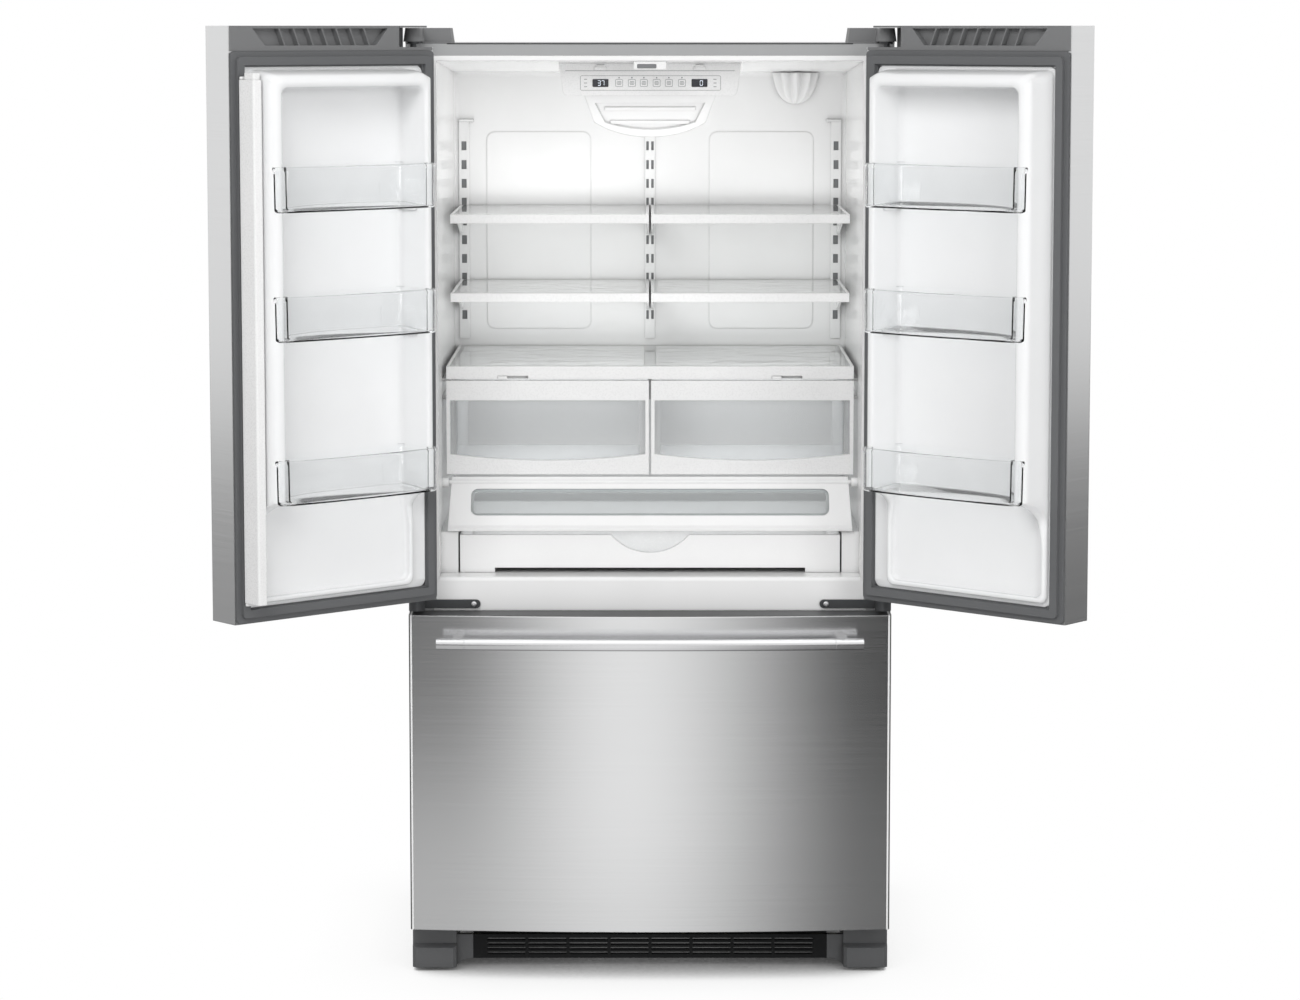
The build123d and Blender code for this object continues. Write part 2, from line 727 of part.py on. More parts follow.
pin_low = CABINET_TOP - TOP_PIN_LENGTH
with BuildPart() as top_hinges:
    with BuildSketch(plan(CABINET_TOP)):
        top_hinge_outline(0)
    extrude(amount=HINGE_PLATE)
    with BuildSketch(plan(pin_low)):
        with Locations((pivot_x, pivot_depth)):
            Circle(HINGE_PIN)
    extrude(amount=TOP_PIN_LENGTH)
    mirror(about=Plane.YZ)
write(top_hinges, "top_hinges")

# Hinge covers: dark plastic caps that clip over the upper hinges.
with BuildPart() as hinge_covers:
    with BuildSketch(plan(CABINET_TOP + HINGE_PLATE)):
        top_hinge_outline(COVER_MARGIN)
    extrude(amount=COVER_HEIGHT - HINGE_PLATE, taper=COVER_SLOPE)
    with BuildSketch(plan(CABINET_TOP)):
        area(
            (pivot_x - HINGE_TIP - COVER_MARGIN, 0),
            (
                pivot_x - HINGE_TIP + HINGE_PAD_WIDTH + COVER_MARGIN,
                HINGE_PAD_SETBACK + HINGE_PAD_DEPTH + COVER_MARGIN,
            ),
        )
        top_hinge_outline(0)
        area(
            (pivot_x - HINGE_TIP, -COVER_MARGIN),
            (pivot_x + HINGE_TIP, HINGE_PAD_SETBACK + HINGE_PAD_DEPTH),
            Mode.SUBTRACT,
        )
        area(
            (pivot_x - HINGE_TIP, HINGE_PAD_SETBACK),
            (pivot_x - HINGE_TIP + HINGE_PAD_WIDTH, HINGE_PAD_SETBACK + HINGE_PAD_DEPTH),
            Mode.SUBTRACT,
        )
        area(
            (pivot_x - HINGE_TIP - COVER_MARGIN, pivot_depth - HINGE_TIP),
            (pivot_x + HINGE_TIP + COVER_MARGIN, 0),
            Mode.SUBTRACT,
        )
    extrude(amount=HINGE_PLATE)
    mirror(about=Plane.YZ)
write(hinge_covers, "hinge_covers")

# Lower hinges: dark arms screwed to the apron, each with a hub and a pin under its door.
arm_top = door_bottom - ARM_BELOW_DOOR
arm_low = arm_top - ARM_HEIGHT
arm_inner = pivot_x + ARM_LENGTH
with BuildPart() as lower_hinges:
    with BuildSketch(front(0)):
        with Locations(((pivot_x + arm_inner) / 2, (arm_low + arm_top) / 2)):
            SlotOverall(ARM_LENGTH + 2 * HINGE_TIP, ARM_HEIGHT)
    extrude(amount=ARM_PLATE)
    with BuildSketch(front(-ARM_PLATE)):
        with Locations((arm_inner, (arm_low + arm_top) / 2)):
            Circle(SCREW_RADIUS)
    extrude(amount=SCREW_HEAD)
    with BuildSketch(plan(arm_low + ARM_PLATE)):
        with Locations((pivot_x, pivot_depth)):
            Circle(HUB_RADIUS)
        area((pivot_x - HINGE_TIP, pivot_depth), (pivot_x + HINGE_TIP, 0))
    extrude(amount=ARM_HEIGHT - 2 * ARM_PLATE)
    with BuildSketch(plan(arm_low + ARM_PLATE)):
        with Locations((pivot_x, pivot_depth)):
            Circle(HUB_RADIUS)
    extrude(amount=door_bottom - RUNNING_GAP - arm_low - ARM_PLATE)
    with BuildSketch(plan(arm_top)):
        with Locations((pivot_x, pivot_depth)):
            Circle(HINGE_PIN)
    extrude(amount=ARM_BELOW_DOOR + LOWER_PIN_LENGTH)
    mirror(about=Plane.YZ)
write(lower_hinges, "lower_hinges")


# Left door panel: bowed steel skin, hollow, with a pocket at each end for the end caps.
def door_outline(inset, back=0.0):
    """Outline of the left door from above, drawn in at its sides and bowed face and at its back."""
    mid = (hinge_edge + free_edge) / 2
    left, right, inner = hinge_edge + inset, free_edge - inset, inner_face - back
    face = [
        (across, face_depth(across + pivot_x) - pivot_depth + inset) for across in (left, mid, right)
    ]
    with BuildSketch(Plane.XY) as outline:
        with BuildLine():
            ThreePointArc(*face)
            Polyline(face[2], (right, inner), (left, inner), face[0])
        make_face()
        if not inset:
            fillet(outline.vertices().sort_by(Axis.Y)[:2], PANEL_CORNER)
    return outline.sketch


cap_low = door_top - TOP_CAP
cap_high = door_bottom + BOTTOM_CAP
notch_low = CABINET_TOP - NOTCH_BELOW_TOP
notch_edge = hinge_edge + NOTCH_WIDTH
with BuildPart() as left_door_panel:
    with BuildSketch(door_plan(door_bottom)):
        add(door_outline(0))
    extrude(amount=door_top - door_bottom)
    with BuildSketch(door_plan(cap_low)):
        add(door_outline(SKIN))
    extrude(amount=TOP_CAP, mode=Mode.SUBTRACT)
    with BuildSketch(door_plan(door_bottom)):
        add(door_outline(SKIN))
    extrude(amount=BOTTOM_CAP, mode=Mode.SUBTRACT)
    with BuildSketch(door_plan(cap_high + SKIN)):
        add(door_outline(SKIN, SKIN))
    extrude(amount=cap_low - cap_high - 2 * SKIN, mode=Mode.SUBTRACT)
    with BuildSketch(door_plan(notch_low)):
        area((hinge_edge - SKIN, -HINGE_BACK), (notch_edge, inner_face))
    extrude(amount=door_top - notch_low, mode=Mode.SUBTRACT)
    with BuildSketch(door_plan(pin_low - RUNNING_GAP)):
        Circle(HINGE_PIN + PIN_FIT)
    extrude(amount=TOP_PIN_LENGTH, mode=Mode.SUBTRACT)
    with BuildSketch(door_plan(door_bottom)):
        Circle(HINGE_PIN + PIN_FIT)
    extrude(amount=LOWER_PIN_LENGTH + RUNNING_GAP, mode=Mode.SUBTRACT)
write(left_door_panel, "left_door_panel")

# End caps: dark plastic, the upper one notched for the hinge, with a ribbed recess on its inner side.
recess_top = door_top - CAP_RECESS_LIP
recess_low = recess_top - CAP_RECESS_HEIGHT
recess_left = notch_edge + CAP_RECESS_SLANT
recess_right = free_edge - 2 * CAP_RECESS_SLANT
with BuildPart() as left_door_caps:
    with BuildSketch(door_plan(cap_low)):
        add(door_outline(SKIN))
    extrude(amount=TOP_CAP)
    with BuildSketch(door_plan(notch_low)):
        area((hinge_edge, -HINGE_BACK), (notch_edge, inner_face))
    extrude(amount=TOP_CAP, mode=Mode.SUBTRACT)
    with BuildSketch(door_plan(cap_low)):
        Circle(HINGE_PIN + PIN_FIT)
    extrude(amount=TOP_CAP, mode=Mode.SUBTRACT)
    with BuildSketch(door_face(inner_face)):
        Polygon(
            (recess_left, recess_top),
            (recess_left + CAP_RECESS_SLANT, recess_low),
            (recess_right - CAP_RECESS_SLANT, recess_low),
            (recess_right, recess_top),
            align=None,
        )
    extrude(amount=CAP_RECESS, mode=Mode.SUBTRACT)
    rib_pitch = (recess_right - recess_left - 3 * CAP_RECESS_SLANT) / CAP_RIBS
    with BuildSketch(door_face(inner_face)):
        for rib in range(CAP_RIBS):
            foot = recess_left + 1.5 * CAP_RECESS_SLANT + rib * rib_pitch
            Polygon(
                (foot, recess_low),
                (foot + CAP_RIB, recess_low),
                (foot + CAP_RIB + CAP_RIB_LEAN, recess_top),
                (foot + CAP_RIB_LEAN, recess_top),
                align=None,
            )
    extrude(amount=CAP_RECESS)
    with BuildSketch(door_plan(door_bottom)):
        add(door_outline(SKIN))
        Circle(HINGE_PIN + PIN_FIT, mode=Mode.SUBTRACT)
    extrude(amount=BOTTOM_CAP)
write(left_door_caps, "left_door_caps")

# Gasket: grey bellows seal around the door's inner face.
seal_left = hinge_edge + GASKET_INSET
seal_right = free_edge - GASKET_INSET
seal_low = door_bottom + GASKET_INSET
seal_top = CABINET_TOP - GASKET_BELOW_TOP
with BuildPart() as left_door_gasket:
    with BuildSketch(door_face(inner_face)):
        ring((seal_left, seal_low), (seal_right, seal_top), GASKET_WIDTH, GASKET_CORNER)
    extrude(amount=-GASKET_BASE)
    with BuildSketch(door_face(inner_face)):
        ring(
            (seal_left + GASKET_BULB_INSET, seal_low + GASKET_BULB_INSET),
            (seal_right - GASKET_BULB_INSET, seal_top - GASKET_BULB_INSET),
            GASKET_BULB,
            GASKET_CORNER,
        )
    extrude(amount=GASKET_CLEAR - GASKET_GAP)
write(left_door_gasket, "left_door_gasket")

# Door liner: white moulding with tall dykes around the bins, and a plain pan below them.
pan_left = seal_left + GASKET_WIDTH
pan_right = seal_right - GASKET_WIDTH
pan_low = seal_low + GASKET_WIDTH
pan_top = seal_top - GASKET_WIDTH
plate_face = inner_face + LINER_PLATE
rim_face = inner_face + DYKE_HEIGHT
dyke_left = -fresh_half + DYKE_WALL_GAP - pivot_x
flipper_right = -DOOR_GAP / 2 - GASKET_INSET - GASKET_BULB_INSET - pivot_x
dyke_right = flipper_right - FLIPPER_THICK - FLIPPER_GAP
dyke_low = FRESH_FLOOR + DYKE_END_ABOVE_FLOOR
dyke_top = pan_top - DYKE_TOP_GAP
recess = (dyke_left + DYKE_HINGE_RIM, dyke_right - DYKE_FREE_RIM)
pan_rim_low = FRESH_FLOOR + PAN_ABOVE_FLOOR
with BuildPart() as door_liner:
    with BuildSketch(door_face(inner_face)):
        area((pan_left, pan_low), (pan_right, pan_top))
    extrude(amount=-LINER_PLATE)
    with BuildSketch(door_side(dyke_left)):
        with BuildLine():
            Polyline(
                (rim_face, dyke_low + DYKE_HEIGHT),
                (rim_face, dyke_top - DYKE_TOP_SLOPE),
                (inner_face, dyke_top),
                (inner_face, dyke_low),
            )
            ThreePointArc(
                (inner_face, dyke_low),
                (rim_face - DYKE_HEIGHT * math.sqrt(0.5), dyke_low + DYKE_HEIGHT * math.sqrt(0.5)),
                (rim_face, dyke_low + DYKE_HEIGHT),
            )
        make_face()
    extrude(amount=dyke_right - dyke_left)
    with BuildSketch(door_face(plate_face)):
        area((recess[0], pan_rim_low), (recess[1], dyke_top - DYKE_TOP_SLOPE - DYKE_TOP_RIM))
    extrude(amount=-2 * DYKE_HEIGHT, mode=Mode.SUBTRACT)
    with BuildSketch(door_face(plate_face)):
        area((dyke_left, pan_rim_low), (dyke_right, dyke_low + DYKE_HEIGHT / 2))
        area(
            (dyke_left + PAN_RIM, pan_rim_low + PAN_RIM),
            (dyke_right - PAN_RIM, dyke_low + DYKE_HEIGHT / 2),
            Mode.SUBTRACT,
        )
    extrude(amount=-PAN_RIM_HEIGHT)
    for level in bin_levels:
        with BuildSketch(door_plan(level - LEDGE)):
            area((recess[0], plate_face), (recess[0] + BIN_LEDGE, plate_face + BIN_LEDGE_DEPTH))
            area((recess[1] - BIN_LEDGE, plate_face), (recess[1], plate_face + BIN_LEDGE_DEPTH))
        extrude(amount=LEDGE)

# The flipper's hinge lugs stand on the left liner alone, one under the flipper and one over it.
flipper_low = FRESH_FLOOR + FLIPPER_ABOVE_FLOOR + LUG_HEIGHT
flipper_top = fresh_ceiling - FLIPPER_BELOW_CEILING
seal_plane = inner_face + GASKET_GAP + FLIPPER_SEAL_GAP
# The flipper turns a quarter about its pin, so that its outer side becomes its sealing side and
# its width, folded inward, becomes centred on the gap between the doors.
flipper_centre = -pivot_x
pin_sum = flipper_right + seal_plane
pin_difference = flipper_centre - FLIPPER_WIDTH / 2 - seal_plane
flipper_pin_x = (pin_sum + pin_difference) / 2
flipper_pin_y = (pin_sum - pin_difference) / 2
with BuildPart() as left_door_liner:
    add(door_liner.part)
    for lug_low, pin_start in (
        (flipper_low - RUNNING_GAP - LUG_HEIGHT, flipper_low - LUG_HEIGHT),
        (flipper_top + RUNNING_GAP, flipper_top - FLIPPER_PIN_LENGTH),
    ):
        with BuildSketch(door_plan(lug_low)):
            area(
                (recess[1] + BIN_GAP, plate_face),
                (dyke_right, flipper_pin_y + LUG_WIDTH / 2),
            )
            area(
                (dyke_right, flipper_pin_y - LUG_WIDTH / 2),
                (flipper_pin_x, flipper_pin_y + LUG_WIDTH / 2),
            )
            with Locations((flipper_pin_x, flipper_pin_y)):
                Circle(LUG_WIDTH / 2)
        extrude(amount=LUG_HEIGHT)
        with BuildSketch(door_plan(pin_start)):
            with Locations((flipper_pin_x, flipper_pin_y)):
                Circle(FLIPPER_PIN)
        extrude(amount=FLIPPER_PIN_LENGTH + LUG_HEIGHT)
write(left_door_liner, "left_door_liner")

# Flipper mullion: hinged post that closes the gap between the doors, shown folded inward.
with BuildPart() as flipper_mullion:
    with BuildSketch(door_plan(flipper_low)) as post:
        area(
            (flipper_right - FLIPPER_THICK, seal_plane),
            (flipper_right, seal_plane + FLIPPER_WIDTH),
        )
        fillet(post.vertices(), FLIPPER_CORNER)
    extrude(amount=flipper_top - flipper_low)
    with BuildSketch(door_plan(flipper_top)) as follower:
        area(
            (flipper_right - FLIPPER_THICK + FOLLOWER_MARGIN, seal_plane + FOLLOWER_SETBACK),
            (flipper_right - FOLLOWER_MARGIN, seal_plane + FLIPPER_WIDTH - FOLLOWER_MARGIN),
        )
        fillet(follower.vertices(), FLIPPER_CORNER)
    extrude(amount=FOLLOWER_HEIGHT)
    for bore_low in (flipper_low, flipper_top - FLIPPER_PIN_LENGTH - RUNNING_GAP):
        with BuildSketch(door_plan(bore_low)):
            with Locations((flipper_pin_x, flipper_pin_y)):
                Circle(FLIPPER_PIN + PIN_FIT)
        extrude(amount=FLIPPER_PIN_LENGTH + RUNNING_GAP, mode=Mode.SUBTRACT)
write(flipper_mullion, "flipper_mullion")

# Mullion guide: white block under the ceiling whose groove turns the flipper as the door shuts.
guide_low = flipper_top + FOLLOWER_HEIGHT + GUIDE_CLEAR
with BuildPart() as mullion_guide:
    with BuildSketch(side(0)):
        Polygon(
            (GUIDE_SETBACK, guide_low),
            (GUIDE_SETBACK + GUIDE_DEPTH, guide_low),
            (GUIDE_SETBACK + GUIDE_DEPTH, ceiling(GUIDE_SETBACK + GUIDE_DEPTH)),
            (GUIDE_SETBACK, ceiling(GUIDE_SETBACK)),
            align=None,
        )
    extrude(amount=GUIDE_HALF_WIDTH, both=True)
    with BuildSketch(plan(guide_low)):
        with Locations((0, GUIDE_SETBACK + GUIDE_DEPTH)):
            Circle(GUIDE_HALF_WIDTH - GUIDE_GROOVE)
            Circle(GUIDE_HALF_WIDTH - 2 * GUIDE_GROOVE, mode=Mode.SUBTRACT)
    extrude(amount=GUIDE_GROOVE, mode=Mode.SUBTRACT)
write(mullion_guide, "mullion_guide")


# Door bins: clear trays that hang between the dykes and reach out over their rims.
def bin_outline(grow):
    """Outline of a bin seen from above, grown by an amount."""
    back = plate_face + BIN_GAP - grow
    shoulder = rim_face + BIN_GAP - grow
    reach = rim_face + BIN_FRONT + grow
    with BuildSketch(Plane.XY) as outline:
        with BuildLine():
            Polyline(
                (recess[0] + BIN_GAP - grow, back),
                (recess[0] + BIN_GAP - grow, shoulder),
                (dyke_left - grow, shoulder),
                (dyke_left - grow, reach),
                (dyke_right + grow, reach),
                (dyke_right + grow, shoulder),
                (recess[1] - BIN_GAP + grow, shoulder),
                (recess[1] - BIN_GAP + grow, back),
                close=True,
            )
        make_face()
        fillet(outline.vertices().sort_by(Axis.Y)[-2:], BIN_CORNER + grow)
    return outline.sketch


with BuildPart() as left_door_bins:
    for tray_low in bin_levels:
        with BuildSketch(door_plan(tray_low)):
            add(bin_outline(0))
        extrude(amount=BIN_HEIGHT)
        with BuildSketch(door_plan(tray_low + BIN_WALL)):
            add(bin_outline(-BIN_WALL))
        extrude(amount=BIN_HEIGHT, mode=Mode.SUBTRACT)
        with BuildSketch(door_plan(tray_low + BIN_HEIGHT - BIN_LIP_HEIGHT)) as lip:
            area((dyke_left, rim_face + BIN_CORNER / 2), (dyke_right, rim_face + BIN_FRONT + BIN_LIP))
            fillet(lip.vertices().sort_by(Axis.Y)[-2:], BIN_FRONT / 2)
            area(
                (dyke_left + BIN_WALL, rim_face),
                (dyke_right - BIN_WALL, rim_face + BIN_FRONT - BIN_CORNER),
                Mode.SUBTRACT,
            )
            area(
                (dyke_left + BIN_CORNER, rim_face),
                (dyke_right - BIN_CORNER, rim_face + BIN_FRONT - BIN_WALL),
                Mode.SUBTRACT,
            )
        extrude(amount=BIN_LIP_HEIGHT)
write(left_door_bins, "left_door_bins")

# Door handle: upright steel bar on two posts, near the free edge.
bar_x = free_edge - DOOR_HANDLE_FROM_EDGE
bar_y = face_depth(bar_x + pivot_x) - pivot_depth - HANDLE_REACH
bar_low = door_bottom + DOOR_HANDLE_ABOVE_BOTTOM
with BuildPart() as left_door_handle:
    for post_low in (
        bar_low + HANDLE_POST_INSET,
        bar_low + DOOR_HANDLE_LENGTH - HANDLE_POST_INSET - HANDLE_POST,
    ):
        with BuildSketch(door_plan(post_low)):
            area((bar_x - HANDLE_THICK / 3, bar_y), (bar_x + HANDLE_THICK / 3, 0))
        extrude(amount=HANDLE_POST)
    with BuildSketch(door_plan(bar_low)):
        add(door_outline(0))
    extrude(amount=DOOR_HANDLE_LENGTH, mode=Mode.SUBTRACT)
    with BuildSketch(door_plan(bar_low)):
        with Locations((bar_x, bar_y)):
            Ellipse(HANDLE_HEIGHT / 2, HANDLE_THICK / 2)
    extrude(amount=DOOR_HANDLE_LENGTH)
    for seam_low in (bar_low + HANDLE_END, bar_low + DOOR_HANDLE_LENGTH - HANDLE_END - HANDLE_SEAM):
        with BuildSketch(door_plan(seam_low)):
            with Locations((bar_x, bar_y)):
                Rectangle(2 * HANDLE_HEIGHT, 2 * HANDLE_THICK)
                Ellipse(
                    HANDLE_HEIGHT / 2 - HANDLE_SEAM_DEPTH,
                    HANDLE_THICK / 2 - HANDLE_SEAM_DEPTH,
                    mode=Mode.SUBTRACT,
                )
        extrude(amount=HANDLE_SEAM, mode=Mode.SUBTRACT)
write(left_door_handle, "left_door_handle")

# Right door: the left door's pieces in mirror image, without the flipper and its lugs.
for name, piece in (
    ("right_door_panel", left_door_panel.part),
    ("right_door_caps", left_door_caps.part),
    ("right_door_gasket", left_door_gasket.part),
    ("right_door_liner", door_liner.part),
    ("right_door_bins", left_door_bins.part),
    ("right_door_handle", left_door_handle.part),
):
    with BuildPart() as right_piece:
        mirror(piece, about=Plane.YZ)
    write(right_piece, name)

# Freezer drawer front: the same bowed steel skin over the full width, hollow.
drawer_inner = -GASKET_GAP


def drawer_outline(inset):
    """Outline of the drawer front from above, drawn in by an inset."""
    end = front_half - inset
    corner = face_depth(end) + inset
    with BuildSketch(Plane.XY) as outline:
        with BuildLine():
            ThreePointArc((-end, corner), (0, face_depth(0) + inset), (end, corner))
            Polyline(
                (end, corner), (end, drawer_inner - inset), (-end, drawer_inner - inset), (-end, corner)
            )
        make_face()
        if not inset:
            fillet(outline.vertices().sort_by(Axis.Y)[:2], PANEL_CORNER)
    return outline.sketch


with BuildPart() as freezer_panel:
    with BuildSketch(plan(drawer_bottom)):
        add(drawer_outline(0))
    extrude(amount=drawer_top - drawer_bottom)
    with BuildSketch(plan(drawer_bottom + SKIN)):
        add(drawer_outline(SKIN))
    extrude(amount=drawer_top - drawer_bottom - 2 * SKIN, mode=Mode.SUBTRACT)
write(freezer_panel, "freezer_panel")

# Freezer gasket: grey seal that meets the flange, the centre rail and the freezer rim.
drawer_seal_half = front_half - GASKET_INSET
drawer_seal_low = freezer_rim_low - GASKET_WIDTH + RIM_WIDTH
drawer_seal_top = rail_low + GASKET_WIDTH
with BuildPart() as freezer_gasket:
    with BuildSketch(front(drawer_inner)):
        ring(
            (-drawer_seal_half, drawer_seal_low),
            (drawer_seal_half, drawer_seal_top),
            GASKET_WIDTH,
            GASKET_CORNER,
        )
    extrude(amount=-GASKET_BASE)
    with BuildSketch(front(drawer_inner)):
        ring(
            (-drawer_seal_half + GASKET_BULB_INSET, drawer_seal_low + GASKET_BULB_INSET),
            (drawer_seal_half - GASKET_BULB_INSET, drawer_seal_top - GASKET_BULB_INSET),
            GASKET_BULB,
            GASKET_CORNER,
        )
    extrude(amount=GASKET_CLEAR - GASKET_GAP)
write(freezer_gasket, "freezer_gasket")

# Freezer handle: level bar bowed with the drawer front, on two posts.
handle_z = drawer_top - DRAWER_HANDLE_BELOW_TOP
handle_end = front_half - DRAWER_HANDLE_INSET
post_x = handle_end - HANDLE_POST_INSET
with BuildPart() as freezer_handle:
    with BuildSketch(plan(handle_z - HANDLE_HEIGHT / 3)):
        for post in (-post_x, post_x):
            area(
                (post - HANDLE_POST / 2, face_depth(post) - HANDLE_REACH),
                (post + HANDLE_POST / 2, drawer_inner),
            )
    extrude(amount=2 * HANDLE_HEIGHT / 3)
    with BuildSketch(plan(drawer_bottom)):
        add(drawer_outline(0))
    extrude(amount=drawer_top - drawer_bottom, mode=Mode.SUBTRACT)
    with BuildLine(plan(handle_z)) as bow:
        ThreePointArc(
            (-handle_end, face_depth(handle_end) - HANDLE_REACH),
            (0, face_depth(0) - HANDLE_REACH),
            (handle_end, face_depth(handle_end) - HANDLE_REACH),
        )
    with BuildSketch(Plane(origin=bow.line @ 0, x_dir=(0, 0, 1), z_dir=bow.line % 0)):
        Ellipse(HANDLE_HEIGHT / 2, HANDLE_THICK / 2)
    sweep()
    for seam_x in (HANDLE_END - handle_end, handle_end - HANDLE_END - HANDLE_SEAM):
        with BuildSketch(side(seam_x)):
            with Locations((face_depth(seam_x) - HANDLE_REACH, handle_z)):
                Rectangle(2 * HANDLE_THICK, 2 * HANDLE_HEIGHT)
                Ellipse(
                    HANDLE_THICK / 2 - HANDLE_SEAM_DEPTH,
                    HANDLE_HEIGHT / 2 - HANDLE_SEAM_DEPTH,
                    mode=Mode.SUBTRACT,
                )
        extrude(amount=HANDLE_SEAM, mode=Mode.SUBTRACT)
write(freezer_handle, "freezer_handle")

# Freezer rails and slides: fixed channels on the liner walls, and bars fixed to the drawer front.
rail_face = fresh_half - SLIDE_RAIL_WIDTH
slide_outer = rail_face - SLIDE_GAP
slide_inner = slide_outer - SLIDE_WIDTH
with BuildPart() as freezer_rails:
    with BuildSketch(front(FREEZER_BIN_FRONT)) as channel:
        area(
            (rail_face, slide_level - SLIDE_RAIL_HEIGHT / 2),
            (fresh_half, slide_level + SLIDE_RAIL_HEIGHT / 2),
        )
        area(
            (rail_face, slide_level - SLIDE_HEIGHT / 2),
            (fresh_half - SLIDE_RAIL_WIDTH / 2, slide_level + SLIDE_HEIGHT / 2),
            Mode.SUBTRACT,
        )
    extrude(amount=-SLIDE_LENGTH)
    mirror(about=Plane.YZ)
write(freezer_rails, "freezer_rails")

slide_top = slide_level + SLIDE_HEIGHT / 2
with BuildPart() as freezer_slides:
    with BuildSketch(front(drawer_inner)):
        area((slide_inner, slide_level - SLIDE_HEIGHT / 2), (slide_outer, slide_top))
    extrude(amount=-(SLIDE_LENGTH + GASKET_GAP))
    mirror(about=Plane.YZ)
write(freezer_slides, "freezer_slides")


# Open trays: a tub with a flat flange around its top edge.
def tub(low, high, bottom, top, wall, flange, flange_thick):
    """Tub between two corners of the plan, with its flange reaching out to both sides."""
    with BuildPart() as form:
        with BuildSketch(plan(bottom)):
            area(low, high)
        extrude(amount=top - bottom)
        with BuildSketch(plan(top - flange_thick)):
            area((low[0] - flange, low[1]), (high[0] + flange, high[1]))
        extrude(amount=flange_thick)
        with BuildSketch(plan(bottom + wall)):
            area((low[0] + wall, low[1] + wall), (high[0] - wall, high[1] - wall))
        extrude(amount=top - bottom, mode=Mode.SUBTRACT)
    return form.part


# Freezer bin: deep tub that rides on the slides behind the drawer front.
with BuildPart() as freezer_bin:
    add(
        tub(
            (-slide_inner + SLIDE_GAP, FREEZER_BIN_FRONT),
            (slide_inner - SLIDE_GAP, FREEZER_BIN_FRONT + freezer_bin_length),
            freezer_bin_low,
            slide_top + CRISPER_FLANGE,
            FREEZER_BIN_WALL,
            SLIDE_WIDTH,
            CRISPER_FLANGE,
        )
    )
write(freezer_bin, "freezer_bin")

# Freezer basket: shallow slotted tub that hangs on the liner's ledges.
basket_half = fresh_half - LEDGE_WIDTH - RUNNING_GAP
with BuildPart() as freezer_basket:
    add(
        tub(
            (-basket_half, BASKET_FRONT),
            (basket_half, BASKET_FRONT + basket_length),
            basket_low,
            basket_top + RUNNING_GAP + CRISPER_FLANGE,
            FREEZER_BIN_WALL,
            LEDGE_WIDTH / 2,
            CRISPER_FLANGE,
        )
    )
    with BuildSketch(front(0)):
        with Locations((0, (basket_low + basket_top) / 2)):
            with GridLocations(2 * basket_half / BASKET_SLOTS, 1, BASKET_SLOTS, 1):
                SlotOverall(BASKET_SLOT, LEDGE_WIDTH)
    extrude(amount=-FREEZER_DEPTH, mode=Mode.SUBTRACT)
write(freezer_basket, "freezer_basket")


# Crispers: clear tubs under the cover, whose front walls fill the windows of their white fronts.
def crisper_span(hand):
    """Outer and inner ends of a crisper front across the cabinet, lowest first."""
    return sorted((hand * CRISPER_GAP / 2, hand * cover_half))


crisper_top = cover_low - CRISPER_TOP_GAP
window_top = crisper_top - CRISPER_RAIL
window_low = crisper_low + CRISPER_SILL
for hand, label in ((-1, "left"), (1, "right")):
    near, far = crisper_span(hand)
    with BuildPart() as crisper:
        add(
            tub(
                (near + CRISPER_INSET, tub_front),
                (far - CRISPER_INSET, tub_front + crisper_length),
                crisper_low + CRISPER_FLANGE,
                crisper_ledge + RUNNING_GAP + CRISPER_FLANGE,
                CRISPER_WALL,
                CRISPER_INSET - CRISPER_WALL,
                CRISPER_FLANGE,
            )
        )
        with BuildSketch(front(tub_front)):
            area(
                (near + CRISPER_FRAME / 2, crisper_low + CRISPER_FLANGE),
                (far - CRISPER_FRAME / 2, crisper_ledge - LEDGE - RUNNING_GAP),
            )
        extrude(amount=-CRISPER_WALL)
    write(crisper, f"{label}_crisper")
    with BuildPart() as crisper_front:
        with BuildSketch(front(COVER_FRONT)) as face:
            area((near, crisper_low), (far, crisper_top))
            with BuildLine():
                Polyline(
                    (near + CRISPER_FRAME, window_low + CRISPER_SILL_BOW),
                    (near + CRISPER_FRAME, window_top),
                    (far - CRISPER_FRAME, window_top),
                    (far - CRISPER_FRAME, window_low + CRISPER_SILL_BOW),
                )
                ThreePointArc(
                    (far - CRISPER_FRAME, window_low + CRISPER_SILL_BOW),
                    ((near + far) / 2, window_low),
                    (near + CRISPER_FRAME, window_low + CRISPER_SILL_BOW),
                )
            make_face(mode=Mode.SUBTRACT)
        extrude(amount=-CRISPER_FRONT_THICK)
    write(crisper_front, f"{label}_crisper_front")

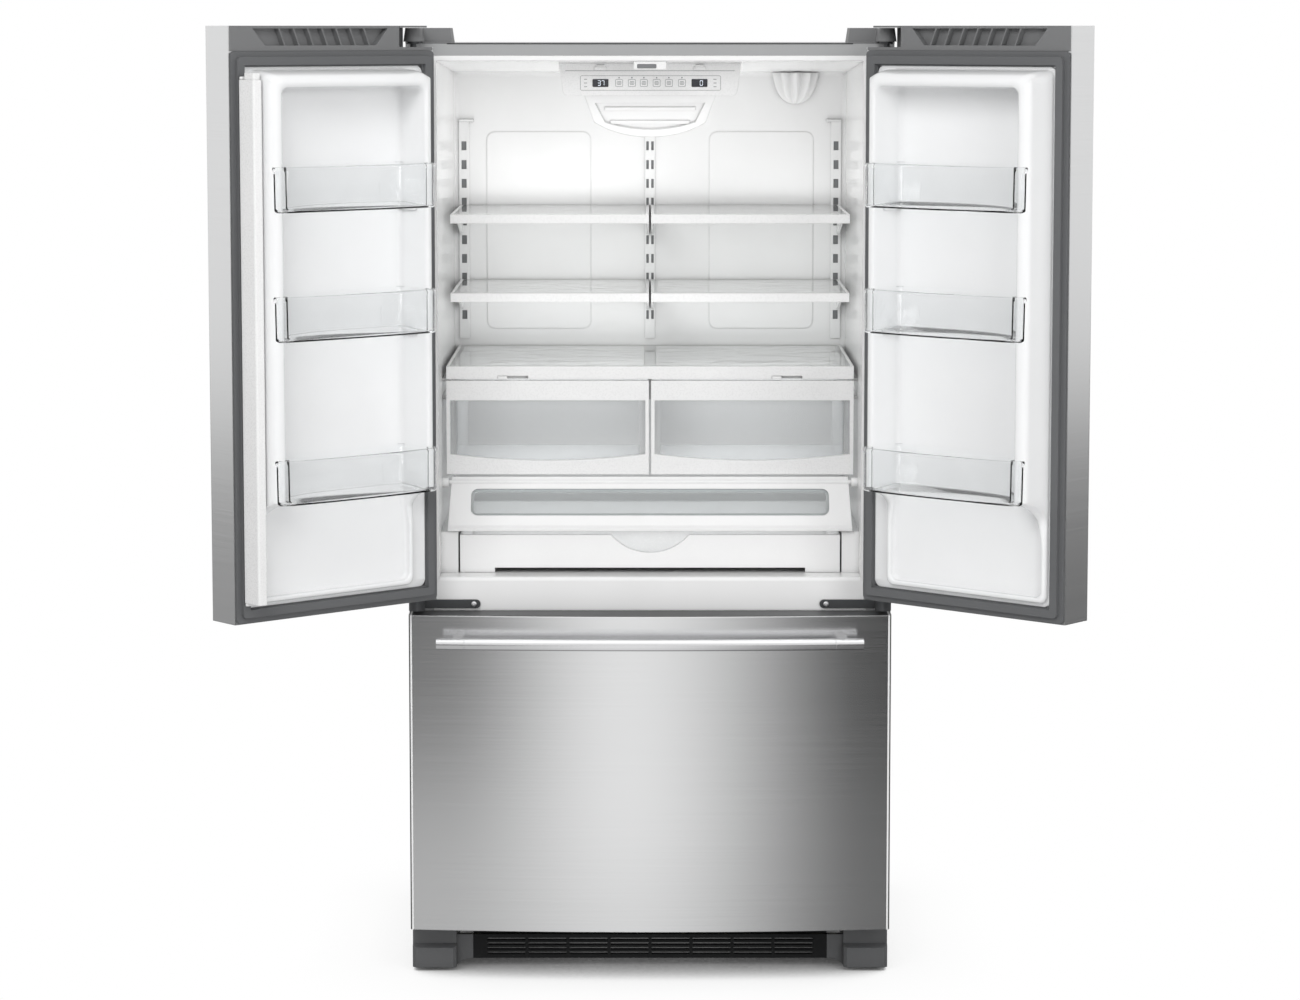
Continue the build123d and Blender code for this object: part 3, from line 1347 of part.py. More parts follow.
# Crisper cover: white frame that carries the full-width glass, the crispers' centre rail and slots.
cover_back = FRESH_DEPTH - COVER_BACK_GAP
with BuildPart() as crisper_cover:
    with BuildSketch(plan(cover_low)):
        area((-cover_half, COVER_FRONT), (cover_half, cover_back))
        area(
            (-cover_half + SHELF_RAIL, COVER_FRONT + 2 * SHELF_RAIL),
            (cover_half - SHELF_RAIL, cover_back - SHELF_RAIL),
            Mode.SUBTRACT,
        )
        area((-TEE_FLANGE / 2, COVER_FRONT), (TEE_FLANGE / 2, cover_back))
    extrude(amount=COVER_TRIM)
    with BuildSketch(plan(cover_top - GLASS)):
        area(
            (-cover_half + SHELF_LEDGE, COVER_FRONT + SHELF_RAIL),
            (cover_half - SHELF_LEDGE, cover_back - SHELF_LEDGE),
        )
    extrude(amount=GLASS, mode=Mode.SUBTRACT)
    with BuildSketch(front(tub_front)):
        area((-TEE_WEB / 2, crisper_ledge - LEDGE), (TEE_WEB / 2, cover_low))
        area((-TEE_FLANGE / 2, crisper_ledge - LEDGE), (TEE_FLANGE / 2, crisper_ledge))
    extrude(amount=-crisper_length)
    with BuildSketch(plan(cover_low)):
        for slot_x in (-slider_x, slider_x):
            area(
                (slot_x - SLIDER_SLOT / 2, COVER_FRONT),
                (slot_x + SLIDER_SLOT / 2, COVER_FRONT + SLIDER_SLOT_DEPTH),
            )
    extrude(amount=SLIDER_SLOT_HEIGHT, mode=Mode.SUBTRACT)
write(crisper_cover, "crisper_cover")

# Humidity sliders: small white knobs that run in the slots under the cover's front trim.
for hand, label in ((-1, "left"), (1, "right")):
    knob_x = hand * slider_x - SLIDER_SLOT / 2 + RUNNING_GAP
    with BuildPart() as slider:
        with BuildSketch(plan(cover_low + RUNNING_GAP)):
            area(
                (knob_x, COVER_FRONT - SLIDER_PROUD),
                (knob_x + SLIDER_WIDTH, COVER_FRONT + SLIDER_SLOT_DEPTH - RUNNING_GAP),
            )
        extrude(amount=SLIDER_SLOT_HEIGHT - 2 * RUNNING_GAP)
        fillet(slider.faces().sort_by(Axis.Y)[0].edges().filter_by(Axis.Z), SLIDER_PROUD / 2)
    write(slider, f"{label}_humidity_slider")

# Half shelves: white frames with a ledge for the glass and two arms that hook into the tracks.
shelf_back = FRESH_DEPTH - TRACK_THICK - RUNNING_GAP
shelf_outer = fresh_half - SHELF_SIDE_GAP
shelf_inner = SHELF_CENTRE_GAP / 2
with BuildPart() as half_shelf_frames:
    for level in shelf_levels:
        shelf_low = level - SHELF_TRIM
        with BuildSketch(plan(shelf_low)):
            area((shelf_inner, SHELF_FRONT), (shelf_outer, shelf_back))
            area(
                (shelf_inner + SHELF_RAIL, SHELF_FRONT + 2 * SHELF_RAIL),
                (shelf_outer - SHELF_RAIL, shelf_back - SHELF_RAIL),
                Mode.SUBTRACT,
            )
        extrude(amount=SHELF_TRIM)
        with BuildSketch(plan(shelf_low + SHELF_TRIM - GLASS)):
            area(
                (shelf_inner + SHELF_LEDGE, SHELF_FRONT + SHELF_RAIL),
                (shelf_outer - SHELF_LEDGE, shelf_back - SHELF_LEDGE),
            )
        extrude(amount=GLASS, mode=Mode.SUBTRACT)
        for arm_x in (shelf_inner, shelf_outer - ARM_THICK):
            with BuildSketch(side(arm_x)):
                Polygon(
                    (shelf_back, shelf_low),
                    (shelf_back, shelf_low - ARM_DROP),
                    (shelf_back - ARM_DROP / 2, shelf_low - ARM_DROP),
                    (shelf_back - ARM_REACH, shelf_low),
                    align=None,
                )
            extrude(amount=ARM_THICK)
    mirror(about=Plane.YZ)
write(half_shelf_frames, "half_shelf_frames")

# Shelf glass: four half panes and the full pane over the crispers.
with BuildPart() as shelf_glass:
    for level in shelf_levels:
        with BuildSketch(plan(level - GLASS)):
            area(
                (shelf_inner + SHELF_LEDGE + GLASS_FIT, SHELF_FRONT + SHELF_RAIL + GLASS_FIT),
                (shelf_outer - SHELF_LEDGE - GLASS_FIT, shelf_back - SHELF_LEDGE - GLASS_FIT),
            )
        extrude(amount=GLASS)
    mirror(about=Plane.YZ)
    with BuildSketch(plan(cover_top - GLASS)):
        area(
            (-cover_half + SHELF_LEDGE + GLASS_FIT, COVER_FRONT + SHELF_RAIL + GLASS_FIT),
            (cover_half - SHELF_LEDGE - GLASS_FIT, cover_back - SHELF_LEDGE - GLASS_FIT),
        )
    extrude(amount=GLASS)
write(shelf_glass, "shelf_glass")

# Shelf tracks: slotted steel strips on the back wall, one at each side and a double one between.
slot_pitch = (track_high - track_low - 2 * TRACK_END) / (TRACK_SLOTS - 1)
with BuildPart() as shelf_tracks:
    with BuildSketch(front(FRESH_DEPTH)):
        for strip_x in (-track_x, 0, track_x):
            area((strip_x - TRACK_WIDTH / 2, track_low), (strip_x + TRACK_WIDTH / 2, track_high))
        for slot_x, slot_width in (
            (-track_x, TRACK_SLOT_WIDTH),
            (-CENTRE_SLOT_GAP / 2, CENTRE_SLOT_WIDTH),
            (CENTRE_SLOT_GAP / 2, CENTRE_SLOT_WIDTH),
            (track_x, TRACK_SLOT_WIDTH),
        ):
            with Locations((slot_x, (track_low + track_high) / 2)):
                with GridLocations(1, slot_pitch, 1, TRACK_SLOTS):
                    Rectangle(slot_width, TRACK_SLOT_HEIGHT, mode=Mode.SUBTRACT)
    extrude(amount=TRACK_THICK)
write(shelf_tracks, "shelf_tracks")

# Control panel: white fascia that leans back under the ceiling.
control_top = ceiling(CONTROL_FRONT)
control_low = control_top - CONTROL_HEIGHT
control_back = CONTROL_FRONT + CONTROL_LEAN + CONTROL_THICK
with BuildPart() as control_panel:
    with BuildSketch(front(CONTROL_FRONT)) as fascia:
        Polygon(
            (-CONTROL_WIDTH / 2, control_top),
            (-CONTROL_WIDTH / 2 + CONTROL_TAPER, control_low),
            (CONTROL_WIDTH / 2 - CONTROL_TAPER, control_low),
            (CONTROL_WIDTH / 2, control_top),
            align=None,
        )
        fillet(fascia.vertices().sort_by(Axis.Y)[:2], CONTROL_CORNER)
    extrude(amount=CONTROL_FRONT - control_back)
    with BuildSketch(side(0)):
        Polygon(
            (CONTROL_FRONT, control_top),
            (CONTROL_FRONT, control_low),
            (CONTROL_FRONT + CONTROL_LEAN, control_low),
            align=None,
        )
        Polygon(
            (CONTROL_FRONT, ceiling(CONTROL_FRONT)),
            (control_back, ceiling(CONTROL_FRONT)),
            (control_back, ceiling(control_back)),
            align=None,
        )
    extrude(amount=CONTROL_WIDTH, both=True, mode=Mode.SUBTRACT)
write(control_panel, "control_panel")

# Light cover: translucent bowl behind the control panel, with a rim and ridges on its tilted face.
tilt = math.radians(LAMP_TILT)
lamp_plane = Plane(
    origin=(0, FRONT_Y + control_back, control_low),
    x_dir=(1, 0, 0),
    z_dir=(0, -math.cos(tilt), -math.sin(tilt)),
)


def lamp_outline(shrink):
    """Outline of the bowl's tilted face, drawn in by an amount."""
    with BuildSketch(Plane.XY) as outline:
        with BuildLine():
            Polyline(
                (-LAMP_NECK / 2 + shrink, -LAMP_NECK_DROP),
                (-LAMP_WIDTH / 2 + shrink, -shrink),
                (LAMP_WIDTH / 2 - shrink, -shrink),
                (LAMP_NECK / 2 - shrink, -LAMP_NECK_DROP),
            )
            ThreePointArc(
                (LAMP_NECK / 2 - shrink, -LAMP_NECK_DROP),
                (0, shrink - LAMP_DROP),
                (-LAMP_NECK / 2 + shrink, -LAMP_NECK_DROP),
            )
        make_face()
    return outline.sketch


with BuildPart() as light_cover:
    with BuildSketch(lamp_plane):
        add(lamp_outline(0))
    extrude(amount=LAMP_DROP + CONTROL_HEIGHT, dir=(0, 0, 1))
    with BuildSketch(side(0)):
        Polygon(
            (0, ceiling(0)),
            (FRESH_DEPTH, ceiling(FRESH_DEPTH)),
            (FRESH_DEPTH, CABINET_TOP + FRESH_DEPTH),
            (0, CABINET_TOP + FRESH_DEPTH),
            align=None,
        )
    extrude(amount=CONTROL_WIDTH, both=True, mode=Mode.SUBTRACT)
    with BuildSketch(lamp_plane):
        add(lamp_outline(LAMP_RIM))
    extrude(amount=-LAMP_RIM_HEIGHT, mode=Mode.SUBTRACT)
    with BuildSketch(lamp_plane.offset(-LAMP_RIM_HEIGHT)):
        for ridge in range(LAMP_RIDGES):
            ridge_y = -LAMP_RIM - (ridge + 0.5) * (LAMP_DROP - 2 * LAMP_RIM) / LAMP_RIDGES
            ridge_half = (LAMP_NECK / 2 - LAMP_RIM) * (1 - (ridge / LAMP_RIDGES) ** 2 / 2)
            area((-ridge_half, ridge_y - LAMP_RIDGE / 2), (ridge_half, ridge_y + LAMP_RIDGE / 2))
    extrude(amount=LAMP_RIM_HEIGHT / 2)
write(light_cover, "light_cover")

# Ribbed lens: fluted translucent dome on the back wall, under the ceiling.
lens_top = ceiling(FRESH_DEPTH) - LINER_RADIUS
with BuildPart() as ribbed_lens:
    with BuildSketch(front(FRESH_DEPTH)) as dome:
        with Locations((lens_x, lens_top)):
            Polygon(
                (-LENS_WIDTH / 2, 0),
                (-LENS_FOOT / 2, -LENS_HEIGHT),
                (LENS_FOOT / 2, -LENS_HEIGHT),
                (LENS_WIDTH / 2, 0),
                align=None,
            )
        fillet(dome.vertices().sort_by(Axis.Y)[:2], LENS_CORNER)
    extrude(amount=LENS_THICK)
    fillet(ribbed_lens.faces().sort_by(Axis.Y)[0].edges(), LENS_EDGE)
    with BuildSketch(plan(lens_top - LENS_HEIGHT)):
        with Locations((lens_x, FRESH_DEPTH - LENS_THICK)):
            with GridLocations(LENS_WIDTH / (LENS_FLUTES + 1), 1, LENS_FLUTES, 1):
                Rectangle(LENS_FLUTE, LENS_FLUTE, rotation=45)
    extrude(amount=LENS_HEIGHT, mode=Mode.SUBTRACT)
write(ribbed_lens, "ribbed_lens")

# Pantry drawer: wide shallow drawer on runners, with a finger cut-out in its front.
pantry_low = FRESH_FLOOR + PANTRY_LIFT
pantry_top = pantry_low + PANTRY_HEIGHT - PANTRY_LIFT
with BuildPart() as pantry_drawer:
    with BuildSketch(plan(pantry_low)):
        area((-pantry_half, PANTRY_FRONT), (pantry_half, PANTRY_FRONT + pantry_length))
    extrude(amount=pantry_top - pantry_low)
    with BuildSketch(plan(pantry_low + PANTRY_WALL)):
        area(
            (-pantry_half + PANTRY_WALL, PANTRY_FRONT + PANTRY_FRONT_THICK),
            (pantry_half - PANTRY_WALL, PANTRY_FRONT + pantry_length - PANTRY_WALL),
        )
    extrude(amount=PANTRY_HEIGHT, mode=Mode.SUBTRACT)
    with BuildSketch(plan(FRESH_FLOOR + RUNNING_GAP)):
        for hand in (-1, 1):
            near, far = sorted((hand * (pantry_half - PANTRY_RUNNER), hand * pantry_half))
            area((near, PANTRY_FRONT), (far, PANTRY_FRONT + pantry_length))
    extrude(amount=PANTRY_LIFT - RUNNING_GAP)
    notch_radius = (PANTRY_NOTCH**2 + PANTRY_NOTCH_DROP**2) / (2 * PANTRY_NOTCH_DROP)
    with BuildSketch(front(PANTRY_FRONT)):
        with Locations((0, pantry_top - PANTRY_NOTCH_DROP + notch_radius)):
            Circle(notch_radius)
    extrude(amount=-PANTRY_FRONT_THICK, mode=Mode.SUBTRACT)
write(pantry_drawer, "pantry_drawer")

# Pantry lid: slanted white flap hinged at its top edge, with an opening for its window.
lid_low = FRESH_FLOOR + LID_LOW
lid_top = FRESH_FLOOR + LID_TOP
lid_bend = (LID_FRONT + LID_SHOULDER, lid_low + LID_LIP)
lid_run = LID_BACK - lid_bend[0]
lid_climb = lid_top - lid_bend[1]
lid_length = math.hypot(lid_run, lid_climb)
lid_normal = (-lid_climb / lid_length, lid_run / lid_length)
lid_plane = Plane(
    origin=(0, FRONT_Y + lid_bend[0], lid_bend[1]),
    x_dir=(1, 0, 0),
    z_dir=(0, lid_normal[0], lid_normal[1]),
)
with BuildPart() as pantry_lid:
    with BuildSketch(side(0)):
        Polygon(
            (LID_FRONT, lid_low),
            (LID_FRONT, lid_low + LID_LIP / 2),
            lid_bend,
            (LID_BACK, lid_top),
            (LID_BACK - LID_THICK * lid_normal[0], lid_top - LID_THICK * lid_normal[1]),
            (lid_bend[0] - LID_THICK * lid_normal[0], lid_bend[1] - LID_THICK * lid_normal[1]),
            (LID_FRONT + LID_THICK, lid_low),
            align=None,
        )
    extrude(amount=lid_half, both=True)
    with BuildSketch(front(0)):
        for hand in (-1, 1):
            Polygon(
                (hand * lid_half, lid_low),
                (hand * (lid_half - LID_SIDE_TAPER), lid_top),
                (hand * lid_half, lid_top),
                align=None,
            )
    extrude(amount=-FRESH_DEPTH, mode=Mode.SUBTRACT)
    with BuildSketch(lid_plane):
        with Locations((0, WINDOW_SETBACK + WINDOW_HEIGHT / 2)):
            RectangleRounded(window_width, WINDOW_HEIGHT, WINDOW_CORNER)
    extrude(amount=-WINDOW_THICK, mode=Mode.SUBTRACT)
    with BuildSketch(lid_plane):
        with Locations((0, WINDOW_SETBACK + WINDOW_HEIGHT / 2)):
            RectangleRounded(
                window_width - 2 * WINDOW_LEDGE, WINDOW_HEIGHT - 2 * WINDOW_LEDGE, WINDOW_CORNER / 2
            )
    extrude(amount=-2 * LID_THICK, mode=Mode.SUBTRACT)
    with BuildSketch(side(0)):
        with Locations((lid_pin_depth, lid_pin_height)):
            Circle(LID_PIN)
    extrude(amount=fresh_half - RUNNING_GAP, both=True)
write(pantry_lid, "pantry_lid")

with BuildPart() as pantry_window:
    with BuildSketch(lid_plane):
        with Locations((0, WINDOW_SETBACK + WINDOW_HEIGHT / 2)):
            RectangleRounded(
                window_width - 2 * GLASS_FIT, WINDOW_HEIGHT - 2 * GLASS_FIT, WINDOW_CORNER - GLASS_FIT
            )
    extrude(amount=-WINDOW_THICK)
write(pantry_window, "pantry_window")

# Base frame: steel plate under the cabinet on two channels that hold the feet and the rollers.
with BuildPart() as base_frame:
    with BuildSketch(plan(base_low)):
        area((-half + SHEET, BASE_SETBACK), (half - SHEET, CABINET_DEPTH - SHEET))
    extrude(amount=BASE_PLATE)
    with BuildSketch(plan(RAIL_LOW)):
        for cheek in (rail_inner_x, rail_outer_x - RAIL_CHEEK):
            area((cheek, BASE_RAIL_FRONT), (cheek + RAIL_CHEEK, base_rail_back))
    extrude(amount=base_low - RAIL_LOW)
    with BuildSketch(plan(RAIL_LOW + ROLLER_RADIUS)):
        area(
            (rail_inner_x, FOOT_DEPTH - FOOT_BLOCK / 2), (rail_outer_x, FOOT_DEPTH + FOOT_BLOCK / 2)
        )
    extrude(amount=base_low - RAIL_LOW - ROLLER_RADIUS)
    with BuildSketch(plan(RAIL_LOW)):
        with Locations((channel_mid, FOOT_DEPTH)):
            Circle(FOOT_STEM + PIN_FIT)
    extrude(amount=base_low - RAIL_LOW, mode=Mode.SUBTRACT)
    with BuildSketch(side(rail_inner_x)):
        with Locations((roller_depth, ROLLER_RADIUS)):
            Circle(AXLE_RADIUS + PIN_FIT)
    extrude(amount=RAIL_SPAN, mode=Mode.SUBTRACT)
    mirror(about=Plane.YZ)
write(base_frame, "base_frame")

# Levelling feet: threaded stems with flat pads, under the front of the channels.
with BuildPart() as levelling_feet:
    with BuildSketch(plan(0)):
        with Locations((channel_mid, FOOT_DEPTH)):
            Circle(FOOT_PAD_RADIUS)
    extrude(amount=FOOT_PAD_HEIGHT)
    with BuildSketch(plan(FOOT_PAD_HEIGHT)):
        with Locations((channel_mid, FOOT_DEPTH)):
            Circle(FOOT_STEM)
    extrude(amount=base_low - FOOT_PAD_HEIGHT)
    mirror(about=Plane.YZ)
write(levelling_feet, "levelling_feet")

# Rear rollers: plastic wheels on steel axles, between the cheeks of the channels.
with BuildPart() as right_roller:
    with BuildSketch(side(rail_inner_x + RAIL_CHEEK + ROLLER_GAP)):
        with Locations((roller_depth, ROLLER_RADIUS)):
            Circle(ROLLER_RADIUS)
    extrude(amount=RAIL_SPAN - 2 * RAIL_CHEEK - 2 * ROLLER_GAP)
    with BuildSketch(side(rail_inner_x - AXLE_OVERHANG)):
        with Locations((roller_depth, ROLLER_RADIUS)):
            Circle(AXLE_RADIUS)
    extrude(amount=RAIL_SPAN + 2 * AXLE_OVERHANG)
write(right_roller, "right_roller")
with BuildPart() as left_roller:
    mirror(right_roller.part, about=Plane.YZ)
write(left_roller, "left_roller")

# Base grille: dark plastic plate with rows of air slots.
with BuildPart() as base_grille:
    with BuildSketch(front(GRILLE_FRONT)):
        area((-grille_half, GRILLE_LOW), (grille_half, grille_top))
        with Locations((0, (GRILLE_LOW + grille_top) / 2)):
            with GridLocations(grille_pitch, GRILLE_SLOT_PITCH, GRILLE_COLUMNS, GRILLE_ROWS):
                Rectangle(grille_pitch - GRILLE_BAR, GRILLE_SLOT_HEIGHT, mode=Mode.SUBTRACT)
    extrude(amount=-GRILLE_THICK)
    with BuildSketch(plan(grille_top - GRILLE_SLOT_HEIGHT)):
        area(
            (-grille_half, GRILLE_FRONT + GRILLE_THICK), (grille_half, BASE_SETBACK + SHEET)
        )
    extrude(amount=base_low - grille_top + GRILLE_SLOT_HEIGHT)
write(base_grille, "base_grille")

# Foot covers: dark plastic blocks at both ends of the grille, each with a wing that curves up to it.
cover_out = front_half
cover_in = cover_out - FOOT_COVER_WIDTH
wing_drop = GRILLE_LOW - FOOT_COVER_LOW
with BuildPart() as foot_covers:
    with BuildSketch(side(cover_in)):
        Polygon(
            (-FOOT_COVER_FRONT, FOOT_COVER_LOW),
            (-FOOT_COVER_FRONT, FOOT_COVER_STEP),
            (FOOT_COVER_SHOULDER - FOOT_COVER_FRONT, FOOT_COVER_STEP + FOOT_COVER_CHAMFER),
            (FOOT_COVER_SHOULDER - FOOT_COVER_FRONT, foot_cover_top),
            (BASE_SETBACK, foot_cover_top),
            (BASE_SETBACK, base_low),
            (FOOT_COVER_BACK, base_low),
            (FOOT_COVER_BACK, FOOT_COVER_LOW),
            align=None,
        )
    extrude(amount=FOOT_COVER_WIDTH)
    chamfer(
        foot_covers.faces().sort_by(Axis.Y)[0].edges().filter_by(Axis.Z), FOOT_COVER_CHAMFER
    )
    with BuildSketch(front(GRILLE_FRONT)):
        with BuildLine():
            Polyline(
                (grille_half, GRILLE_LOW),
                (grille_half, grille_top),
                (cover_in, grille_top),
                (cover_in, FOOT_COVER_LOW),
            )
            TangentArc(
                (grille_half, GRILLE_LOW), (cover_in, FOOT_COVER_LOW), tangent=(1, 0)
            )
        make_face()
    extrude(amount=-GRILLE_THICK)
    mirror(about=Plane.YZ)
write(foot_covers, "foot_covers")


# Fans: a hub on a motor shaft with pitched blades, made on the plane that the fan faces.
def fan(plane):
    with BuildPart() as form:
        with BuildSketch(plane):
            Circle(FAN_HUB)
        extrude(amount=FAN_THICK)
        for blade in range(FAN_BLADES):
            turn = Rotation(0, 0, blade * 360 / FAN_BLADES)
            lean = Rotation(FAN_BLADE_ANGLE, 0, 0)
            spoke = plane * Pos(0, 0, FAN_THICK / 2) * turn * lean
            with BuildSketch(Plane(spoke)):
                area((FAN_HUB / 2, -FAN_HUB), (FAN_RADIUS - FAN_THICK / 2, FAN_HUB))
            extrude(amount=SHEET / 2, both=True)
        with BuildSketch(plane):
            Circle(FAN_SHAFT + PIN_FIT)
        extrude(amount=FAN_THICK, mode=Mode.SUBTRACT)
    return form.part


def motor(plane):
    """Fan motor on four spokes across the fan's hole, with its shaft reaching through the fan."""
    with BuildPart() as form:
        with BuildSketch(plane):
            Circle(MOTOR_RADIUS)
            Rectangle(2 * FAN_HOLE + SPIDER, SPIDER)
            Rectangle(SPIDER, 2 * FAN_HOLE + SPIDER)
        extrude(amount=-EVAP_COVER_THICK)
        with BuildSketch(plane):
            Circle(MOTOR_RADIUS)
        extrude(amount=-MOTOR_LENGTH)
        with BuildSketch(plane):
            Circle(FAN_SHAFT)
        extrude(amount=FAN_THICK + SPIDER / 2)
    return form.part


# Evaporator cover: white panel across the back of the freezer, with the fan's hole and motor.
evap_fan_plane = Plane(
    origin=(0, FRONT_Y + evap_cover_depth, evap_fan_height), x_dir=(1, 0, 0), z_dir=(0, -1, 0)
)
with BuildPart() as evaporator_cover:
    with BuildSketch(front(evap_cover_depth)):
        area((-fresh_half, evap_cover_low), (fresh_half, freezer_ceiling))
        with Locations((0, evap_fan_height)):
            Circle(FAN_HOLE, mode=Mode.SUBTRACT)
    extrude(amount=-EVAP_COVER_THICK)
    with BuildSketch(plan(evap_cover_low - EVAP_COVER_THICK)):
        area((-fresh_half, evap_cover_depth), (fresh_half, FREEZER_DEPTH))
    extrude(amount=EVAP_COVER_THICK)
    add(motor(evap_fan_plane))
write(evaporator_cover, "evaporator_cover")

with BuildPart() as evaporator_fan:
    add(fan(evap_fan_plane.offset(SPIDER / 2)))
write(evaporator_fan, "evaporator_fan")


def fin_block(low, high, count, gap_share):
    """Comb outline of a finned coil between two corners of the open sketch."""
    pitch = (high[0] - low[0]) / count
    area(low, high)
    rib = (high[1] - low[1]) / 6
    for gap in range(count):
        start = low[0] + pitch * (gap + (1 - gap_share) / 2)
        area((start, low[1] + rib), (start + pitch * gap_share, high[1] - rib), Mode.SUBTRACT)


# Evaporator: finned aluminium coil behind the cover, against the freezer's back wall.
with BuildPart() as evaporator:
    with BuildSketch(front(FREEZER_DEPTH)):
        fin_block(
            (-evap_half, evap_low), (evap_half, evap_low + EVAP_HEIGHT), EVAP_FINS, FIN_GAP
        )
    extrude(amount=EVAP_THICK)
write(evaporator, "evaporator")

# Compressor: welded steel can on a foot plate in the machine compartment.
with BuildPart() as compressor:
    with BuildSketch(plan(CABINET_BOTTOM)):
        with Locations((compressor_x, compressor_depth)):
            Rectangle(COMPRESSOR_FOOT_WIDTH, COMPRESSOR_FOOT_DEPTH)
    extrude(amount=COMPRESSOR_FOOT)
    with BuildSketch(plan(CABINET_BOTTOM + COMPRESSOR_FOOT)):
        with Locations((compressor_x, compressor_depth)):
            Circle(COMPRESSOR_RADIUS)
    extrude(amount=COMPRESSOR_HEIGHT - COMPRESSOR_FOOT)
    fillet(compressor.faces().sort_by(Axis.Z)[-1].edges(), COMPRESSOR_DOME)
write(compressor, "compressor")

# Drain pan: shallow tray under the condenser.
with BuildPart() as drain_pan:
    add(
        tub(
            (pan_x[0], pan_depth[0]),
            (pan_x[1], pan_depth[1]),
            CABINET_BOTTOM,
            CABINET_BOTTOM + PAN_HEIGHT,
            PAN_WALL,
            PAN_WALL,
            PAN_WALL,
        )
    )
write(drain_pan, "drain_pan")

# Condenser: finned coil standing in the pan, with the fan's shroud and motor on its end.
condenser_fan_plane = Plane(
    origin=(
        condenser_x[0],
        FRONT_Y + (condenser_depth[0] + condenser_depth[1]) / 2,
        condenser_fan_height,
    ),
    x_dir=(0, -1, 0),
    z_dir=(-1, 0, 0),
)
with BuildPart() as condenser:
    with BuildSketch(plan(condenser_low)):
        fin_block(
            (condenser_x[0] + MOTOR_LENGTH + SHROUD, condenser_depth[0]),
            (condenser_x[1], condenser_depth[1]),
            CONDENSER_FINS,
            FIN_GAP,
        )
    extrude(amount=condenser_top - condenser_low)
    with BuildSketch(side(condenser_x[0])):
        area(
            (condenser_depth[0] - SHROUD, condenser_low),
            (condenser_depth[1] + SHROUD, condenser_top),
        )
        with Locations(((condenser_depth[0] + condenser_depth[1]) / 2, condenser_fan_height)):
            Circle(FAN_HOLE - SHROUD, mode=Mode.SUBTRACT)
    extrude(amount=SHROUD)
    with BuildSketch(side(condenser_x[0])):
        for wall in (condenser_depth[0] - SHROUD, condenser_depth[1]):
            area((wall, condenser_low), (wall + SHROUD, condenser_top))
    extrude(amount=2 * MOTOR_LENGTH)
    add(motor(condenser_fan_plane))
write(condenser, "condenser")

with BuildPart() as condenser_fan:
    add(fan(condenser_fan_plane.offset(SPIDER / 2)))
write(condenser_fan, "condenser_fan")

# Machine cover: louvred panel over the machine compartment at the back.
with BuildPart() as machine_cover:
    with BuildSketch(front(CABINET_DEPTH)):
        area(
            (-half + SHEET, CABINET_BOTTOM + MACHINE_COVER_REVEAL),
            (half - SHEET, machine_top),
        )
        with Locations((0, CABINET_BOTTOM + MACHINE_HEIGHT / 2)):
            with GridLocations(LOUVRE_COLUMN_PITCH, LOUVRE_PITCH, LOUVRE_COLUMNS, LOUVRE_ROWS):
                SlotOverall(LOUVRE_WIDTH, LOUVRE_HEIGHT, mode=Mode.SUBTRACT)
    extrude(amount=SHEET)
write(machine_cover, "machine_cover")
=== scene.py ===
import json
import math

import bmesh
import bpy
from mathutils import Matrix, Vector


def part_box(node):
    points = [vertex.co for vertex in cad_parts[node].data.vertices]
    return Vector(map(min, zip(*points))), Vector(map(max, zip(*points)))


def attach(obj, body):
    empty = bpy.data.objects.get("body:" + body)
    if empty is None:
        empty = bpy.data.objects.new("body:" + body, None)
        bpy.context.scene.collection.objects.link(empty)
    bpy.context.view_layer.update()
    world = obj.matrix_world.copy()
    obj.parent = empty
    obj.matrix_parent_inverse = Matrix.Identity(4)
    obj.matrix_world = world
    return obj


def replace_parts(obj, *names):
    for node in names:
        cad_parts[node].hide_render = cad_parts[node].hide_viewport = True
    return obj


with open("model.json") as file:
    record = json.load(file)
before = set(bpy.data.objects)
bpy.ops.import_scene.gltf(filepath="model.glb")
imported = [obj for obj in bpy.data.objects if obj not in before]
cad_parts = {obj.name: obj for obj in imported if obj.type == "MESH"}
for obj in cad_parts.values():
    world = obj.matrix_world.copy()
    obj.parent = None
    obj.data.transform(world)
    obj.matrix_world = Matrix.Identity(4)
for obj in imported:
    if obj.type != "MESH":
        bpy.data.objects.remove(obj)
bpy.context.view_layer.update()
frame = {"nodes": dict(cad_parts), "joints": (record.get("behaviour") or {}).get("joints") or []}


# Cabinet wrapper, back panel and machine cover: folded steel sheet, painted a satin grey.
# The paint has a fine orange-peel skin, and fades a little where sheets were rolled.
class Shader:
    """One node tree, with one method that adds any node to it."""

    def __init__(self, tree):
        self.tree = tree

    def node(self, kind, settings=None, inputs=None, output=0):
        made = self.tree.nodes.new("ShaderNode" + kind)
        for setting, value in (settings or {}).items():
            if setting == "stops":
                for stop, (place, grey) in zip(made.color_ramp.elements, value):
                    stop.position, stop.color = place, (grey, grey, grey, 1)
            else:
                setattr(made, setting, value)
        for socket, value in (inputs or {}).items():
            self.feed(made.inputs[socket], value)
        return Wire(self, made.outputs[output])

    def feed(self, socket, value):
        if isinstance(value, Wire):
            self.tree.links.new(value.socket, socket)
        else:
            socket.default_value = value


